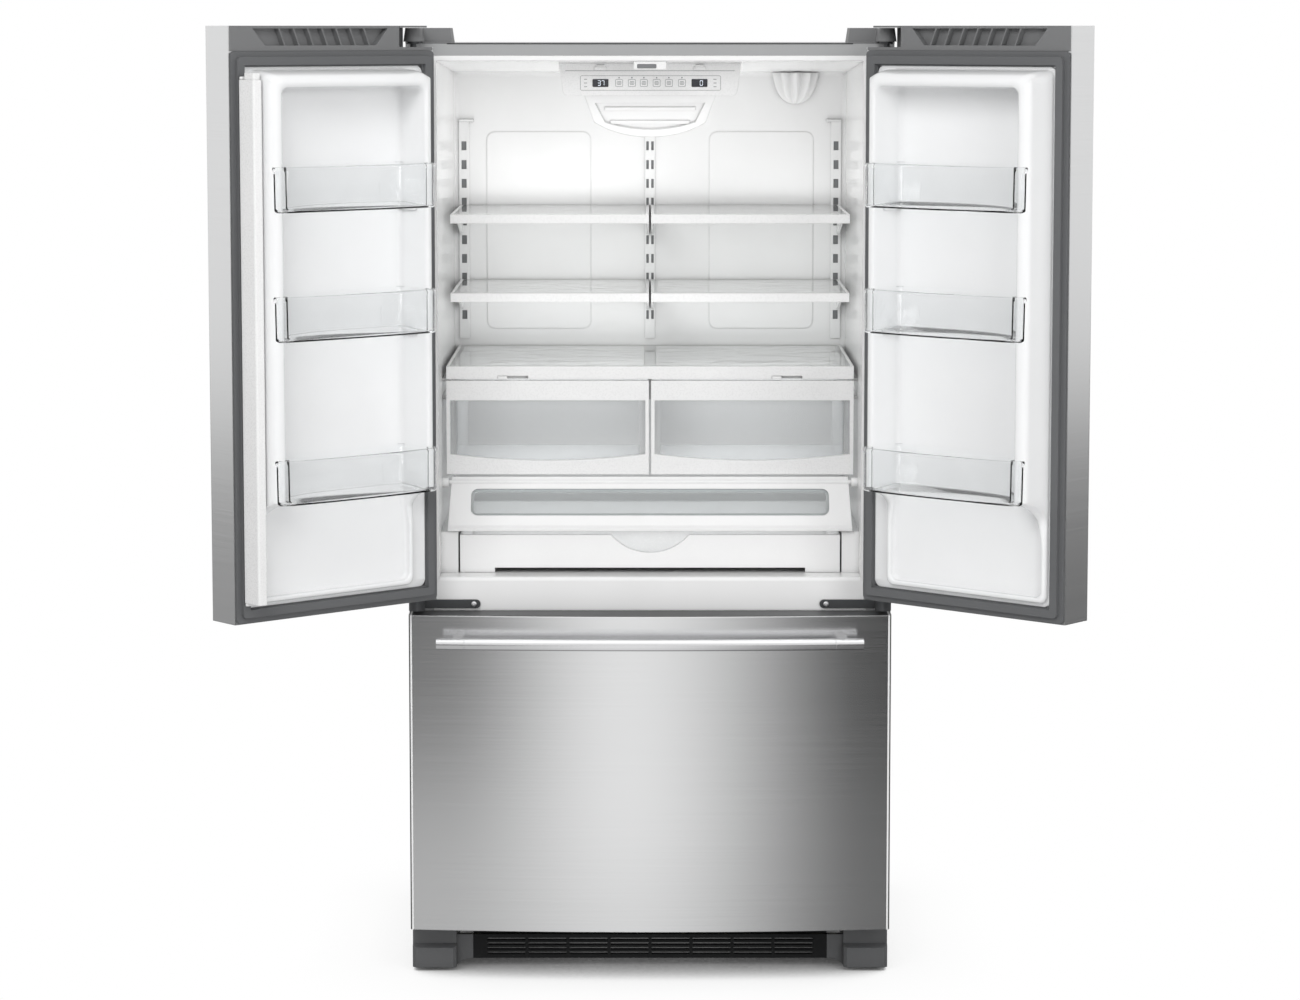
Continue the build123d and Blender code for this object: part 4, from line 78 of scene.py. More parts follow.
class Wire:
    """A shader socket. Arithmetic on it adds Math nodes to its tree."""

    def __init__(self, shader, socket):
        self.shader, self.socket = shader, socket

    def maths(self, operation, first, second):
        return self.shader.node("Math", {"operation": operation}, {0: first, 1: second})

    def __add__(self, other):
        return self.maths("ADD", self, other)

    def __sub__(self, other):
        return self.maths("SUBTRACT", self, other)

    def __rsub__(self, other):
        return self.maths("SUBTRACT", other, self)

    def __mul__(self, other):
        return self.maths("MULTIPLY", self, other)

    def __pow__(self, other):
        return self.maths("POWER", self, other)

    def __truediv__(self, other):
        return self.maths("DIVIDE", self, other)

    def __gt__(self, other):
        return self.maths("GREATER_THAN", self, other)

    def most(self, other):
        return self.maths("MAXIMUM", self, other)

    def ramp(self, start, end, low, high):
        """Runs smoothly from low to high while the value runs from start to end."""
        return self.shader.node(
            "MapRange",
            {"interpolation_type": "SMOOTHSTEP"},
            {"Value": self, "From Min": start, "From Max": end, "To Min": low, "To Max": high},
        )

    __radd__, __rmul__ = __add__, __mul__


class Finish(Shader):
    """A material on the plain surface shader, whose fixed numbers sit on the shader's own sockets."""

    def __init__(self, name, **fixed):
        self.material = bpy.data.materials.new(name)
        self.material.use_nodes = True
        super().__init__(self.material.node_tree)
        self.surface = self.tree.nodes["Principled BSDF"]
        self.give(**fixed)

    def give(self, **looks):
        for socket, value in looks.items():
            self.feed(self.surface.inputs[socket.replace("_", " ")], value)

    def place(self, axis=None):
        """Where a point lies on the piece, in metres, whole or along one axis."""
        whole = self.node("TexCoord", output="Object")
        if axis is None:
            return whole
        return self.node("SeparateXYZ", None, {"Vector": whole}, output=axis)

    def noise(self, scale, detail=3.0, stretch=(1, 1, 1)):
        """Soft noise from 0 to 1, so many lumps to the metre, stretched along the axes."""
        spread = self.node("Mapping", None, {"Vector": self.place(), "Scale": stretch})
        return self.node("TexNoise", None, {"Vector": spread, "Scale": scale, "Detail": detail})

    def tint(self, dark, light, amount):
        """A colour that runs from dark to light by an amount. Either end can be another tint."""
        ends = [end if isinstance(end, Wire) else (*end, 1) for end in (dark, light)]
        mixed = {"Factor": amount, 6: ends[0], 7: ends[1]}
        return self.node("Mix", {"data_type": "RGBA"}, mixed, output=2)

    def rounded(self, radius):
        """The surface's direction with its edges eased by a radius in metres."""
        return self.node("Bevel", {"samples": 4}, {"Radius": radius})

    def bumped(self, height, depth, radius):
        """Small relief of a depth in metres over eased edges."""
        return self.node(
            "Bump",
            None,
            {"Height": height, "Distance": depth, "Strength": 1.0, "Normal": self.rounded(radius)},
        )


def dress(finish, *nodes):
    """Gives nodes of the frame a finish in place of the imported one."""
    for node in nodes:
        mesh = frame["nodes"][node].data
        mesh.materials.clear()
        mesh.materials.append(finish.material)


CLOUD_SCALE, CLOUD_SHARE, CLOUD_SHADE = 7.0, 0.15, 0.8
CREASE_SHUT, CREASE_OPEN, CREASE_SHADE = 0.1, 0.8, 0.6
GRAIN_GLOSS = 0.12


def moulded(name, colour, roughness, grain, depth, edge=0.0015, shade_reach=0.0, alone=False, **fixed):
    """A moulded or sprayed surface: one colour, faintly clouded, with a fine grain.

    Painted shade darkens its inner corners over the width of a crease, its own corners alone or
    those that it makes with its neighbours too.
    """
    finish = Finish(name, **fixed)
    fine = finish.noise(grain, detail=2.0)
    cloud = 1 - CLOUD_SHARE + CLOUD_SHARE * finish.noise(CLOUD_SCALE, detail=2.0)
    # Painted shade: ambient occlusion darkens the colour in inner corners and where neighbours come
    # close.
    if shade_reach:
        open_air = finish.node(
            "AmbientOcclusion", {"samples": 3, "only_local": alone}, {"Distance": shade_reach}, "AO"
        )
        cloud = cloud * open_air.ramp(CREASE_SHUT, CREASE_OPEN, 0.0, 1.0)
    deep = tuple((CREASE_SHADE if shade_reach else CLOUD_SHADE) * part for part in colour)
    finish.give(
        Base_Color=finish.tint(deep, colour, cloud),
        Roughness=roughness + GRAIN_GLOSS * (fine - 0.5),
        Normal=finish.bumped(fine, depth, edge),
    )
    return finish


def outline(width, height, radius, steps=4):
    """Corners of a rounded rectangle about its own middle."""
    corners = []
    for turn, (right, up) in enumerate(((1, 1), (-1, 1), (-1, -1), (1, -1))):
        for step in range(steps + 1):
            angle = math.radians(90.0 * (turn + step / steps))
            corners.append(
                (
                    right * (width / 2 - radius) + radius * math.cos(angle),
                    up * (height / 2 - radius) + radius * math.sin(angle),
                )
            )
    return corners


def skin(mesh, loops, capped=True, smooth=False):
    """Adds a closed skin over a row of loops, capped at its ends or joined back to its start."""
    rows = [[mesh.verts.new(point) for point in loop] for loop in loops]
    after = rows[1:] if capped else rows[1:] + rows[:1]
    for row, other in zip(rows, after):
        for corner in range(len(row)):
            face = (row[corner - 1], row[corner], other[corner], other[corner - 1])
            mesh.faces.new(face).smooth = smooth
    if capped:
        mesh.faces.new(rows[0])
        mesh.faces.new(rows[-1])


def plate(mesh, place, size, radius, rise, ease):
    """Adds a small plate with an eased edge. Its place gives a point for across, up and proud."""
    width, height = size
    loops = []
    for shrink, proud in ((0.0, 0.0), (0.0, rise - ease), (ease, rise)):
        corners = outline(width - 2 * shrink, height - 2 * shrink, radius - shrink)
        loops.append([place(across, up, proud) for across, up in corners])
    skin(mesh, loops)


SHARP_ANGLE = 40.0


def piece(name, mesh, finish, body="cabinet"):
    """Makes one piece of a mesh, which takes a finish and rides on a body."""
    bmesh.ops.recalc_face_normals(mesh, faces=mesh.faces)
    data = bpy.data.meshes.new(name)
    mesh.to_mesh(data)
    mesh.free()
    data.set_sharp_from_angle(angle=math.radians(SHARP_ANGLE))
    data.materials.append(finish.material)
    made = bpy.data.objects.new(name, data)
    bpy.context.scene.collection.objects.link(made)
    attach(made, body)
    return made


cabinet_paint = moulded(
    "cabinet_paint", (0.375, 0.379, 0.383), roughness=0.42, grain=900.0, depth=0.00004, edge=0.002
)
dress(cabinet_paint, "cabinet_shell", "back_panel", "machine_cover")

# Top edge: a thin dark strip on the wrapper's front at its top edge, seen as a thin line over the
# flange between the hinge covers. It lies on the wrapper.
EDGE_LENGTH, EDGE_HEIGHT, EDGE_PROUD, EDGE_CORNER, EDGE_EASE = 0.752, 0.0024, 0.0005, 0.001, 0.0002
shell_low, shell_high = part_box("cabinet_shell")
edge_dark = moulded(
    "edge_dark", (0.035, 0.036, 0.037), roughness=0.5, grain=900.0, depth=0.00003, edge=0.0004
)
edge_mesh = bmesh.new()
plate(
    edge_mesh,
    lambda across, up, proud: Vector((across, shell_low.y - proud, shell_high.z + up)),
    (EDGE_LENGTH, EDGE_HEIGHT),
    EDGE_CORNER,
    EDGE_PROUD,
    EDGE_EASE,
)
piece("top_edge", edge_mesh, edge_dark)

# Foam insulation: blown rigid foam that fills the walls between the wrapper and the liners. It is
# closed in on all sides.
foam = moulded("foam", (0.80, 0.72, 0.45), roughness=0.9, grain=300.0, depth=0.0004)
dress(foam, "foam_core")

# Liners: vacuum-formed white plastic sheet with a soft gloss, clipped under the wrapper's flange.
# The freezer's fan panel is the same sheet.
# Painted shade darkens the liner's inner corners and where other parts meet it.
liner_white = moulded(
    "liner_white",
    (0.911, 0.910, 0.909),
    roughness=0.22,
    grain=260.0,
    depth=0.00003,
    edge=0.004,
    shade_reach=0.014,
    IOR=1.5,
    Coat_Weight=0.25,
)
dress(liner_white, "fresh_food_liner", "freezer_liner", "evaporator_cover")

# Steel rails: the centre rail, slides and base frame are zinc-coated strip, roll-formed and
# screwed to the cabinet.
ZINC_DARK, ZINC_LIGHT = (0.36, 0.37, 0.38), (0.47, 0.48, 0.49)
zinc = Finish("zinc", Metallic=1.0)
spangle = zinc.noise(scale=90.0, detail=1.0)
zinc.give(
    Base_Color=zinc.tint(ZINC_DARK, ZINC_LIGHT, spangle),
    Roughness=0.36 + 0.14 * spangle,
    Normal=zinc.rounded(radius=0.001),
)
dress(zinc, "centre_rail", "base_frame", "freezer_rails", "freezer_slides", "levelling_feet")

# Shelf tracks: white painted strips with a row of slots, one at each side and a double one between.
# The slots open into the hollow behind the strip, whose shade is painted on grey plates just behind them.
SLOT_ROWS, SLOT_END, SLOT_HEIGHT, SLOT_GAP = 10, 0.048, 0.018, 0.0002
SIDE_SLOT_INSET, SIDE_SLOT_WIDTH = 0.010, 0.0098
MIDDLE_SLOT_OFFSET, MIDDLE_SLOT_WIDTH = 0.005, 0.0048
SLOT_CORNER, SLOT_RISE, SLOT_EASE = 0.0008, 0.0012, 0.0003
track_white = moulded(
    "track_white", (0.884, 0.884, 0.883), roughness=0.35, grain=500.0, depth=0.00002, edge=0.0008
)
dress(track_white, "shelf_tracks")
# Painted shade: grey plates stand in for the shaded hollows behind openings.
hollow_shade = moulded("hollow_shade", (0.20, 0.205, 0.21), roughness=0.6, grain=500.0, depth=0.00002)
track_low, track_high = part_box("shelf_tracks")
slot_run = track_high.z - track_low.z - 2 * SLOT_END
slot_mesh = bmesh.new()
for slot_x, slot_width in (
    (track_low.x + SIDE_SLOT_INSET, SIDE_SLOT_WIDTH),
    (-MIDDLE_SLOT_OFFSET, MIDDLE_SLOT_WIDTH),
    (MIDDLE_SLOT_OFFSET, MIDDLE_SLOT_WIDTH),
    (track_high.x - SIDE_SLOT_INSET, SIDE_SLOT_WIDTH),
):
    for row in range(SLOT_ROWS):
        slot_z = track_low.z + SLOT_END + slot_run * row / (SLOT_ROWS - 1)
        plate(
            slot_mesh,
            lambda across, up, proud: Vector(
                (slot_x + across, track_high.y - SLOT_GAP - proud, slot_z + up)
            ),
            (slot_width, SLOT_HEIGHT - SLOT_GAP),
            SLOT_CORNER,
            SLOT_RISE,
            SLOT_EASE,
        )
piece("slot_backs", slot_mesh, hollow_shade)

# Hinges: dark plated steel plates and arms, under moulded covers on the cabinet top. The doors' end
# caps are moulded in the same grey.
hinge_grey = moulded(
    "hinge_grey", (0.085, 0.088, 0.092), roughness=0.38, grain=700.0, depth=0.00003, Metallic=0.6
)
dress(hinge_grey, "top_hinges", "lower_hinges")
cap_grey = moulded(
    "cap_grey", (0.178, 0.180, 0.183), roughness=0.5, grain=900.0, depth=0.00005, edge=0.002
)
dress(cap_grey, "hinge_covers", "left_door_caps", "right_door_caps")

# Hinge screws: bright plated pan heads with a cross recess, one through the inner end of each
# lower arm. Each head is turned as a row of rings, given by their radius and how proud they stand.
SCREW_X, SCREW_Z, SCREW_SEAT = 0.3308, 0.7018, -0.1601
SCREW_SIDES, RECESS_RADIUS, RECESS_CUT = 24, 0.0025, 0.35
SCREW_PROFILE = (
    (0.0052, -0.0012),
    (0.0052, 0.0006),
    (0.0046, 0.0014),
    (0.0032, 0.0018),
    (0.0019, 0.0019),
    (0.0016, 0.0008),
)
SCREW_DARK, SCREW_LIGHT = (0.72, 0.72, 0.73), (0.86, 0.86, 0.87)
screw_bright = Finish("screw_bright", Metallic=1.0)
turned = screw_bright.noise(scale=900.0, detail=2.0)
screw_bright.give(
    Base_Color=screw_bright.tint(SCREW_DARK, SCREW_LIGHT, turned),
    Roughness=0.28 + 0.1 * turned,
)
screw_mesh = bmesh.new()
for hand in (-1, 1):
    rings = []
    for radius, proud in SCREW_PROFILE:
        cut = RECESS_CUT if radius < RECESS_RADIUS else 0.0
        rings.append([])
        for corner in range(SCREW_SIDES):
            angle = 2 * math.pi * corner / SCREW_SIDES
            reach = (1.0 - cut * abs(math.sin(2 * angle))) * radius
            rings[-1].append(
                Vector(
                    (
                        hand * SCREW_X + reach * math.cos(angle),
                        SCREW_SEAT - proud,
                        SCREW_Z + reach * math.sin(angle),
                    )
                )
            )
    skin(screw_mesh, rings, smooth=True)
piece("hinge_screws", screw_mesh, screw_bright)

# Base: charcoal grille between two foot covers, with the rear rollers in their channels. The covers
# carry painted shade where they meet the floor and run under the drawer.
base_black = moulded(
    "base_black",
    (0.012, 0.0124, 0.0128),
    roughness=0.6,
    grain=900.0,
    depth=0.00005,
    Specular_IOR_Level=0.15,
)
base_grey = moulded(
    "base_grey",
    (0.105, 0.107, 0.110),
    roughness=0.45,
    grain=900.0,
    depth=0.00005,
    edge=0.002,
    shade_reach=0.05,
)
dress(base_black, "base_grille", "left_roller", "right_roller")
dress(base_grey, "foot_covers")

# Control panel: white fascia under the ceiling, moulded in one with its clips. Two dark read-outs
# with lit figures and a row of printed touch pads lie on its leaning face, each a thin film.
# Painted shade darkens the trim's inner corners and where other parts meet it.
trim_white = moulded(
    "trim_white",
    (0.868, 0.867, 0.865),
    roughness=0.28,
    grain=400.0,
    depth=0.00002,
    edge=0.002,
    shade_reach=0.010,
    IOR=1.5,
    Coat_Weight=0.15,
)
dress(trim_white, "control_panel")
FACE_LEAN = 0.014
PAD_ROW, DOT_ROW, CLIP_ROW, SEAM_ROW = 0.038, 0.028, 0.011, 0.015
PRINT, PRINT_EASE, LINE, BAR_CORNER = 0.0002, 0.00005, 0.0006, 0.0003
SEAM, PAD_FRAME, PAD_FRAME_X, PAD_FRAME_CORNER = (0.318, 0.0008), (0.264, 0.028), 0.001, 0.003
PAD_PLACES, PAD, PAD_CORNER = (-0.058, -0.034, -0.0115, 0.0125, 0.0355, 0.060), (0.014, 0.014), 0.002
PAD_BARS, PAD_BAR_HEIGHT = ((0.0024, 0.007), (0.0, 0.009), (-0.0024, 0.007)), 0.0009
DOT, DOT_CORNER, DOT_RISE, DOT_EASE = (0.0024, 0.0024), 0.0011, 0.0003, 0.0001
MARK_PLACES, MARK_RISES, MARK, MARK_CORNER = (-0.121, 0.122), (-0.007, 0.0, 0.007), (0.006, 0.001), 0.0004
face_low, face_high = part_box("control_panel")


def on_face(middle, down):
    """The place of a film on the leaning face, so far across and down from the top of it."""

    def spot(across, up, proud):
        height = face_high.z - down + up
        share = (face_high.z - height) / (face_high.z - face_low.z)
        return Vector((middle + across, face_low.y + FACE_LEAN * share - proud, height))

    return spot


def ring(mesh, place, size, radius, line, rise):
    """Adds a thin outline of a line's width."""
    loops = []
    for shrink, proud in ((0.0, 0.0), (0.0, rise), (line, rise), (line, 0.0)):
        corners = outline(size[0] - 2 * shrink, size[1] - 2 * shrink, radius - shrink)
        loops.append([place(across, up, proud) for across, up in corners])
    skin(mesh, loops, capped=False)


print_grey = moulded(
    "print_grey", (0.16, 0.165, 0.175), roughness=0.6, grain=900.0, depth=0.000005, edge=0.0002
)
print_mesh = bmesh.new()
ring(print_mesh, on_face(PAD_FRAME_X, PAD_ROW), PAD_FRAME, PAD_FRAME_CORNER, LINE, PRINT)
plate(print_mesh, on_face(0.0, SEAM_ROW), SEAM, BAR_CORNER, PRINT, PRINT_EASE)
for pad_x in PAD_PLACES:
    ring(print_mesh, on_face(pad_x, PAD_ROW), PAD, PAD_CORNER, LINE, PRINT)
    plate(print_mesh, on_face(pad_x, DOT_ROW), DOT, DOT_CORNER, DOT_RISE, DOT_EASE)
    for rise, bar in PAD_BARS:
        face = on_face(pad_x, PAD_ROW - rise)
        plate(print_mesh, face, (bar, PAD_BAR_HEIGHT), BAR_CORNER, PRINT, PRINT_EASE)
for mark_x in MARK_PLACES:
    for rise in MARK_RISES:
        plate(print_mesh, on_face(mark_x, PAD_ROW - rise), MARK, MARK_CORNER, PRINT, PRINT_EASE)
piece("panel_print", print_mesh, print_grey)

READOUT_X, READOUT, READOUT_CORNER = 0.093, (0.030, 0.015), 0.0016
READOUT_RISE, READOUT_EASE = 0.0008, 0.0003
READOUT_DEEP, READOUT_PALE = (0.006, 0.007, 0.012), (0.014, 0.016, 0.026)
readout_dark = Finish("readout_dark", Roughness=0.12, IOR=1.5, Coat_Weight=0.6, Coat_Roughness=0.05)
depth = readout_dark.noise(scale=120.0, detail=2.0)
readout_dark.give(Base_Color=readout_dark.tint(READOUT_DEEP, READOUT_PALE, depth))
readout_mesh = bmesh.new()
for readout_x in (-READOUT_X, READOUT_X):
    face = on_face(readout_x, PAD_ROW)
    plate(readout_mesh, face, READOUT, READOUT_CORNER, READOUT_RISE, READOUT_EASE)
piece("read_outs", readout_mesh, readout_dark)

# Each figure is drawn with the bars of a seven-bar read-out: three level ones and four upright.
FIGURE_WIDTH, FIGURE_HEIGHT, BAR = 0.0046, 0.0092, 0.0011
FIGURE_SEAT, FIGURE_CORNER, FIGURE_RISE, FIGURE_EASE = 0.00075, 0.0004, 0.0003, 0.0001
FIGURE_PLACES = ((-0.0955, "3"), (-0.0885, "7"), (0.0965, "0"))
GLOW_DEEP, GLOW_PALE = (0.6, 0.7, 0.8), (0.8, 0.88, 0.95)
LEVEL = {"top": 0.5, "mid": 0.0, "low": -0.5}
UPRIGHT = {
    "left_up": (-0.5, 0.25),
    "right_up": (0.5, 0.25),
    "left_low": (-0.5, -0.25),
    "right_low": (0.5, -0.25),
}
FIGURES = {
    "3": ("top", "mid", "low", "right_up", "right_low"),
    "7": ("top", "right_up", "right_low"),
    "0": ("top", "low", "left_up", "right_up", "left_low", "right_low"),
}
lit_white = moulded(
    "lit_white", (0.80, 0.86, 0.92), roughness=0.4, grain=600.0, depth=0.000005, edge=0.0002
)
lit_white.give(Emission_Color=lit_white.tint(GLOW_DEEP, GLOW_PALE, lit_white.noise(scale=90.0)))
lit_white.give(Emission_Strength=0.35)
figure_mesh = bmesh.new()
for figure_x, figure in FIGURE_PLACES:
    for bar in FIGURES[figure]:
        if bar in LEVEL:
            offset, size = (0.0, LEVEL[bar] * FIGURE_HEIGHT), (FIGURE_WIDTH, BAR)
        else:
            right, up = UPRIGHT[bar]
            offset, size = (right * FIGURE_WIDTH, up * FIGURE_HEIGHT), (BAR, FIGURE_HEIGHT / 2 - BAR)
        face = on_face(figure_x + offset[0], PAD_ROW - offset[1])
        plate(
            figure_mesh,
            lambda across, up, proud: face(across, up, proud + FIGURE_SEAT),
            size,
            FIGURE_CORNER,
            FIGURE_RISE,
            FIGURE_EASE,
        )
piece("read_out_figures", figure_mesh, lit_white)

CLIP_X, CLIP, CLIP_CORNER, CLIP_RISE, CLIP_EASE = 0.093, (0.024, 0.007), 0.002, 0.0018, 0.0008
HOOK_ABOVE, HOOK, HOOK_CORNER, HOOK_RISE = 0.005, (0.016, 0.004), 0.001, 0.0030
clip_mesh = bmesh.new()
for clip_x in (-CLIP_X, CLIP_X):
    plate(clip_mesh, on_face(clip_x, CLIP_ROW), CLIP, CLIP_CORNER, CLIP_RISE, CLIP_EASE)
    plate(clip_mesh, on_face(clip_x, CLIP_ROW - HOOK_ABOVE), HOOK, HOOK_CORNER, HOOK_RISE, CLIP_EASE)
piece("panel_clips", clip_mesh, trim_white)

# Mullion guide: white block screwed up under the ceiling, with a mouth in its front where the
# flipper's follower runs in. The mouth's shade is painted on a thin grey plate on its front.
MOUTH_X, MOUTH_UP, MOUTH = -0.006, 0.006, (0.036, 0.008)
MOUTH_CORNER, MOUTH_RISE, MOUTH_EASE = 0.002, 0.0004, 0.0002
dress(trim_white, "mullion_guide")
guide_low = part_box("mullion_guide")[0]
mouth_mesh = bmesh.new()
plate(
    mouth_mesh,
    lambda across, up, proud: Vector(
        (MOUTH_X + across, guide_low.y - proud, guide_low.z + MOUTH_UP + up)
    ),
    MOUTH,
    MOUTH_CORNER,
    MOUTH_RISE,
    MOUTH_EASE,
)
piece("guide_mouth", mouth_mesh, hollow_shade)

# Lamp covers: a milky bowl clipped behind the control panel, and a fluted cup on the back wall.
# Both are thin mouldings.
# Painted shade darkens the covers' inner corners and where they meet the liner.
milky = moulded(
    "milky",
    (0.886, 0.885, 0.884),
    roughness=0.3,
    grain=300.0,
    depth=0.00003,
    edge=0.003,
    shade_reach=0.016,
    Coat_Weight=0.2,
)
dress(milky, "light_cover")
LOBES, LOBE_DEPTH, CUP_RISE, CUP_ROWS, CUP_STEPS = 5, 0.25, 0.010, 20, 60
CUP_TAPER, CUP_FULLNESS, CUP_END = 0.30, 4, 0.0006
lens_low, lens_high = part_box("ribbed_lens")
lens_middle = (lens_low.x + lens_high.x) / 2
lens_half = (lens_high.x - lens_low.x) / 2
cup_top = lens_high.z + CUP_RISE
cup_rings = []
for row in range(CUP_ROWS + 1):
    share = math.sin(math.pi / 2 * row / CUP_ROWS)
    spread = (1.0 - CUP_TAPER * share) * math.sqrt(max(1.0 - share**CUP_FULLNESS, CUP_END))
    loop = []
    for step in range(CUP_STEPS + 1):
        angle = math.pi * step / CUP_STEPS
        lobe = spread * (1.0 - LOBE_DEPTH * math.cos(LOBES * angle) ** 2)
        loop.append(
            Vector(
                (
                    lens_middle + lens_half * lobe * math.cos(angle),
                    lens_high.y - (lens_high.y - lens_low.y) * lobe * math.sin(angle),
                    cup_top - (cup_top - lens_low.z) * share,
                )
            )
        )
    cup_rings.append(loop)
cup_mesh = bmesh.new()
skin(cup_mesh, cup_rings, smooth=True)
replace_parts(piece("lens_cup", cup_mesh, milky), "ribbed_lens")


# Shelves: white moulded frames hooked into the tracks, each with a pane of clear glass let in.
# The crisper cover is made the same way.
CLEAR_INDEX, CLEAR_EDGE = 1.49, 0.001
WAVE_SCALE, WAVE_DEPTH, WAVE_SHADE = 25.0, 0.0001, 0.97


def clear(name, colour, roughness):
    """A clear wall that bends what is seen through it and lets light fall straight through."""
    finish = Finish(name, IOR=CLEAR_INDEX, Roughness=roughness, Transmission_Weight=1.0)
    wave = finish.noise(WAVE_SCALE, detail=1.0)
    deep = tuple(WAVE_SHADE * part for part in colour)
    finish.give(
        Base_Color=finish.tint(deep, colour, wave),
        Normal=finish.bumped(wave, WAVE_DEPTH, CLEAR_EDGE),
    )
    shadow = finish.node("LightPath", output="Is Shadow Ray")
    soft = finish.node("LightPath", output="Is Diffuse Ray")
    body = Wire(finish, finish.surface.outputs[0])
    open_air = finish.node("BsdfTransparent", None, {"Color": (*colour, 1)})
    look = finish.node("MixShader", None, {0: (shadow + soft) > 0.5, 1: body, 2: open_air})
    finish.feed(finish.tree.nodes["Material Output"].inputs["Surface"], look)
    return finish


dress(trim_white, "half_shelf_frames", "crisper_cover")
shelf_glass = clear("shelf_glass", (0.968, 0.974, 0.971), roughness=0.02)
dress(shelf_glass, "shelf_glass")

# Crispers: clear moulded tubs with white fronts snapped on. They hang under the crisper cover, which
# holds the two humidity slides.
TUB_BODY, TUB_CLOUD, TUB_SHEEN = 0.05, 0.03, 0.8
tub_clear = Finish("tub_clear", IOR=1.5, Roughness=0.06, Base_Color=(0.90, 0.92, 0.93, 1))
# Painted sheen: towards grazing angles the walls grow more solid and whiter, which also lets their own
# reflection show.
painted_sheen = tub_clear.node("Fresnel", None, {"IOR": 1.5})
tub_clear.give(Alpha=TUB_BODY + TUB_CLOUD * tub_clear.noise(scale=12.0) + TUB_SHEEN * painted_sheen)
dress(tub_clear, "left_crisper", "right_crisper")
dress(trim_white, "left_crisper_front", "right_crisper_front")
dress(trim_white, "left_humidity_slider", "right_humidity_slider")

# Pantry: white moulded drawer that stands on runners under a slanted lid. The lid has a grey-tinted
# window glued into it.
# Painted shade darkens the drawer's and the lid's inner corners and where other parts meet them.
pantry_white = moulded(
    "pantry_white",
    (0.904, 0.903, 0.902),
    roughness=0.25,
    grain=400.0,
    depth=0.00002,
    edge=0.003,
    shade_reach=0.010,
)
dress(pantry_white, "pantry_drawer", "pantry_lid")
window_grey = clear("window_grey", (0.88, 0.905, 0.91), roughness=0.05)
dress(window_grey, "pantry_window")

# Freezer inside: clear moulded bin that hangs on the slides, and a white slotted basket over it that
# runs on ledges of the liner.
dress(tub_clear, "freezer_bin")
dress(trim_white, "freezer_basket")

# Cold and machine parts: aluminium fins, black compressor, grey fans and pan. The evaporator is behind
# the freezer's fan panel, and the others are in the machine compartment.
fins = moulded("fins", (0.66, 0.67, 0.68), roughness=0.4, grain=500.0, depth=0.00003, Metallic=1.0)
dress(fins, "evaporator", "condenser")
black_paint = moulded("black_paint", (0.02, 0.02, 0.021), roughness=0.3, grain=600.0, depth=0.00004)
dress(black_paint, "compressor")
dress(base_grey, "evaporator_fan", "condenser_fan", "drain_pan")

# Door and drawer fronts: bowed stainless sheet with a fine level grain, which smears what it mirrors
# up and down. Faces that look up are painted dark as shade, which closes the drawer's top edge with
# a dark line. The drawer's ends carry a dark seam of painted shade and a pale painted highlight along
# each rolled hem.
STEEL_DARK, STEEL_LIGHT = (0.73, 0.733, 0.736), (0.80, 0.803, 0.806)
SHADE_DARK, HEM_HIGHLIGHT = (0.06, 0.061, 0.062), (0.9, 0.9, 0.9)
STROKE_STRETCH, STROKE_DEPTH, STEEL_EDGE, LOOKS_UP = (3.0, 3.0, 700.0), 0.00001, 0.003, 0.9
SEAM_END, HEM_START, HEM_END, HEM_EASE = 0.0027, 0.0033, 0.0064, 0.0008


def brushed(name, hemmed_width=0.0):
    """Brushed stainless, painted dark as shade where it looks up, with a dark seam of painted shade and a
    pale painted highlight down both ends of a front whose width is given.
    """
    steel = Finish(name, Anisotropic=0.5, Anisotropic_Rotation=0.25)
    strokes = steel.noise(scale=1.0, detail=4.0, stretch=STROKE_STRETCH)
    sheen = steel.noise(scale=1.2, detail=2.0)
    turned = steel.node("NewGeometry", output="Normal")
    # Painted shade: faces that look up are painted dark and dull.
    painted_light = steel.node("SeparateXYZ", None, {"Vector": turned}, "Z") > LOOKS_UP
    colour = steel.tint(STEEL_DARK, STEEL_LIGHT, strokes)
    if hemmed_width:
        share = steel.node("TexCoord", output="Generated")
        share = steel.node("SeparateXYZ", None, {"Vector": share}, "X")
        inset = (0.5 - (share - 0.5).most(0.5 - share)) * hemmed_width
        # Painted highlight: a pale line along each hem, beside a dark seam of painted shade at the very
        # end.
        hem_highlight = inset.ramp(SEAM_END, HEM_START, 0.0, 1.0)
        hem_highlight = hem_highlight * inset.ramp(HEM_END - HEM_EASE, HEM_END, 1.0, 0.0)
        painted_light = painted_light.most(1 - inset.ramp(SEAM_END - HEM_EASE, SEAM_END, 0.0, 1.0))
    colour = steel.tint(colour, SHADE_DARK, painted_light)
    if hemmed_width:
        colour = steel.tint(colour, HEM_HIGHLIGHT, hem_highlight)
        painted_light = painted_light.most(hem_highlight)
    steel.give(
        Base_Color=colour,
        Metallic=1 - painted_light,
        Roughness=0.13 + 0.06 * strokes + 0.03 * sheen + 0.3 * painted_light,
        Normal=steel.bumped(strokes, STROKE_DEPTH, STEEL_EDGE),
    )
    return steel


door_steel = brushed("brushed_steel")
dress(door_steel, "left_door_panel", "right_door_panel")
drawer_low, drawer_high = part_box("freezer_panel")
dress(brushed("hemmed_steel", drawer_high.x - drawer_low.x), "freezer_panel")

# Gaskets: grey bellows seals with a soft matt skin. They run round each door and the drawer front,
# and close against the cabinet.
gasket_grey = moulded(
    "gasket_grey", (0.122, 0.125, 0.129), roughness=0.6, grain=700.0, depth=0.00005, edge=0.002
)
dress(gasket_grey, "left_door_gasket", "right_door_gasket", "freezer_gasket")

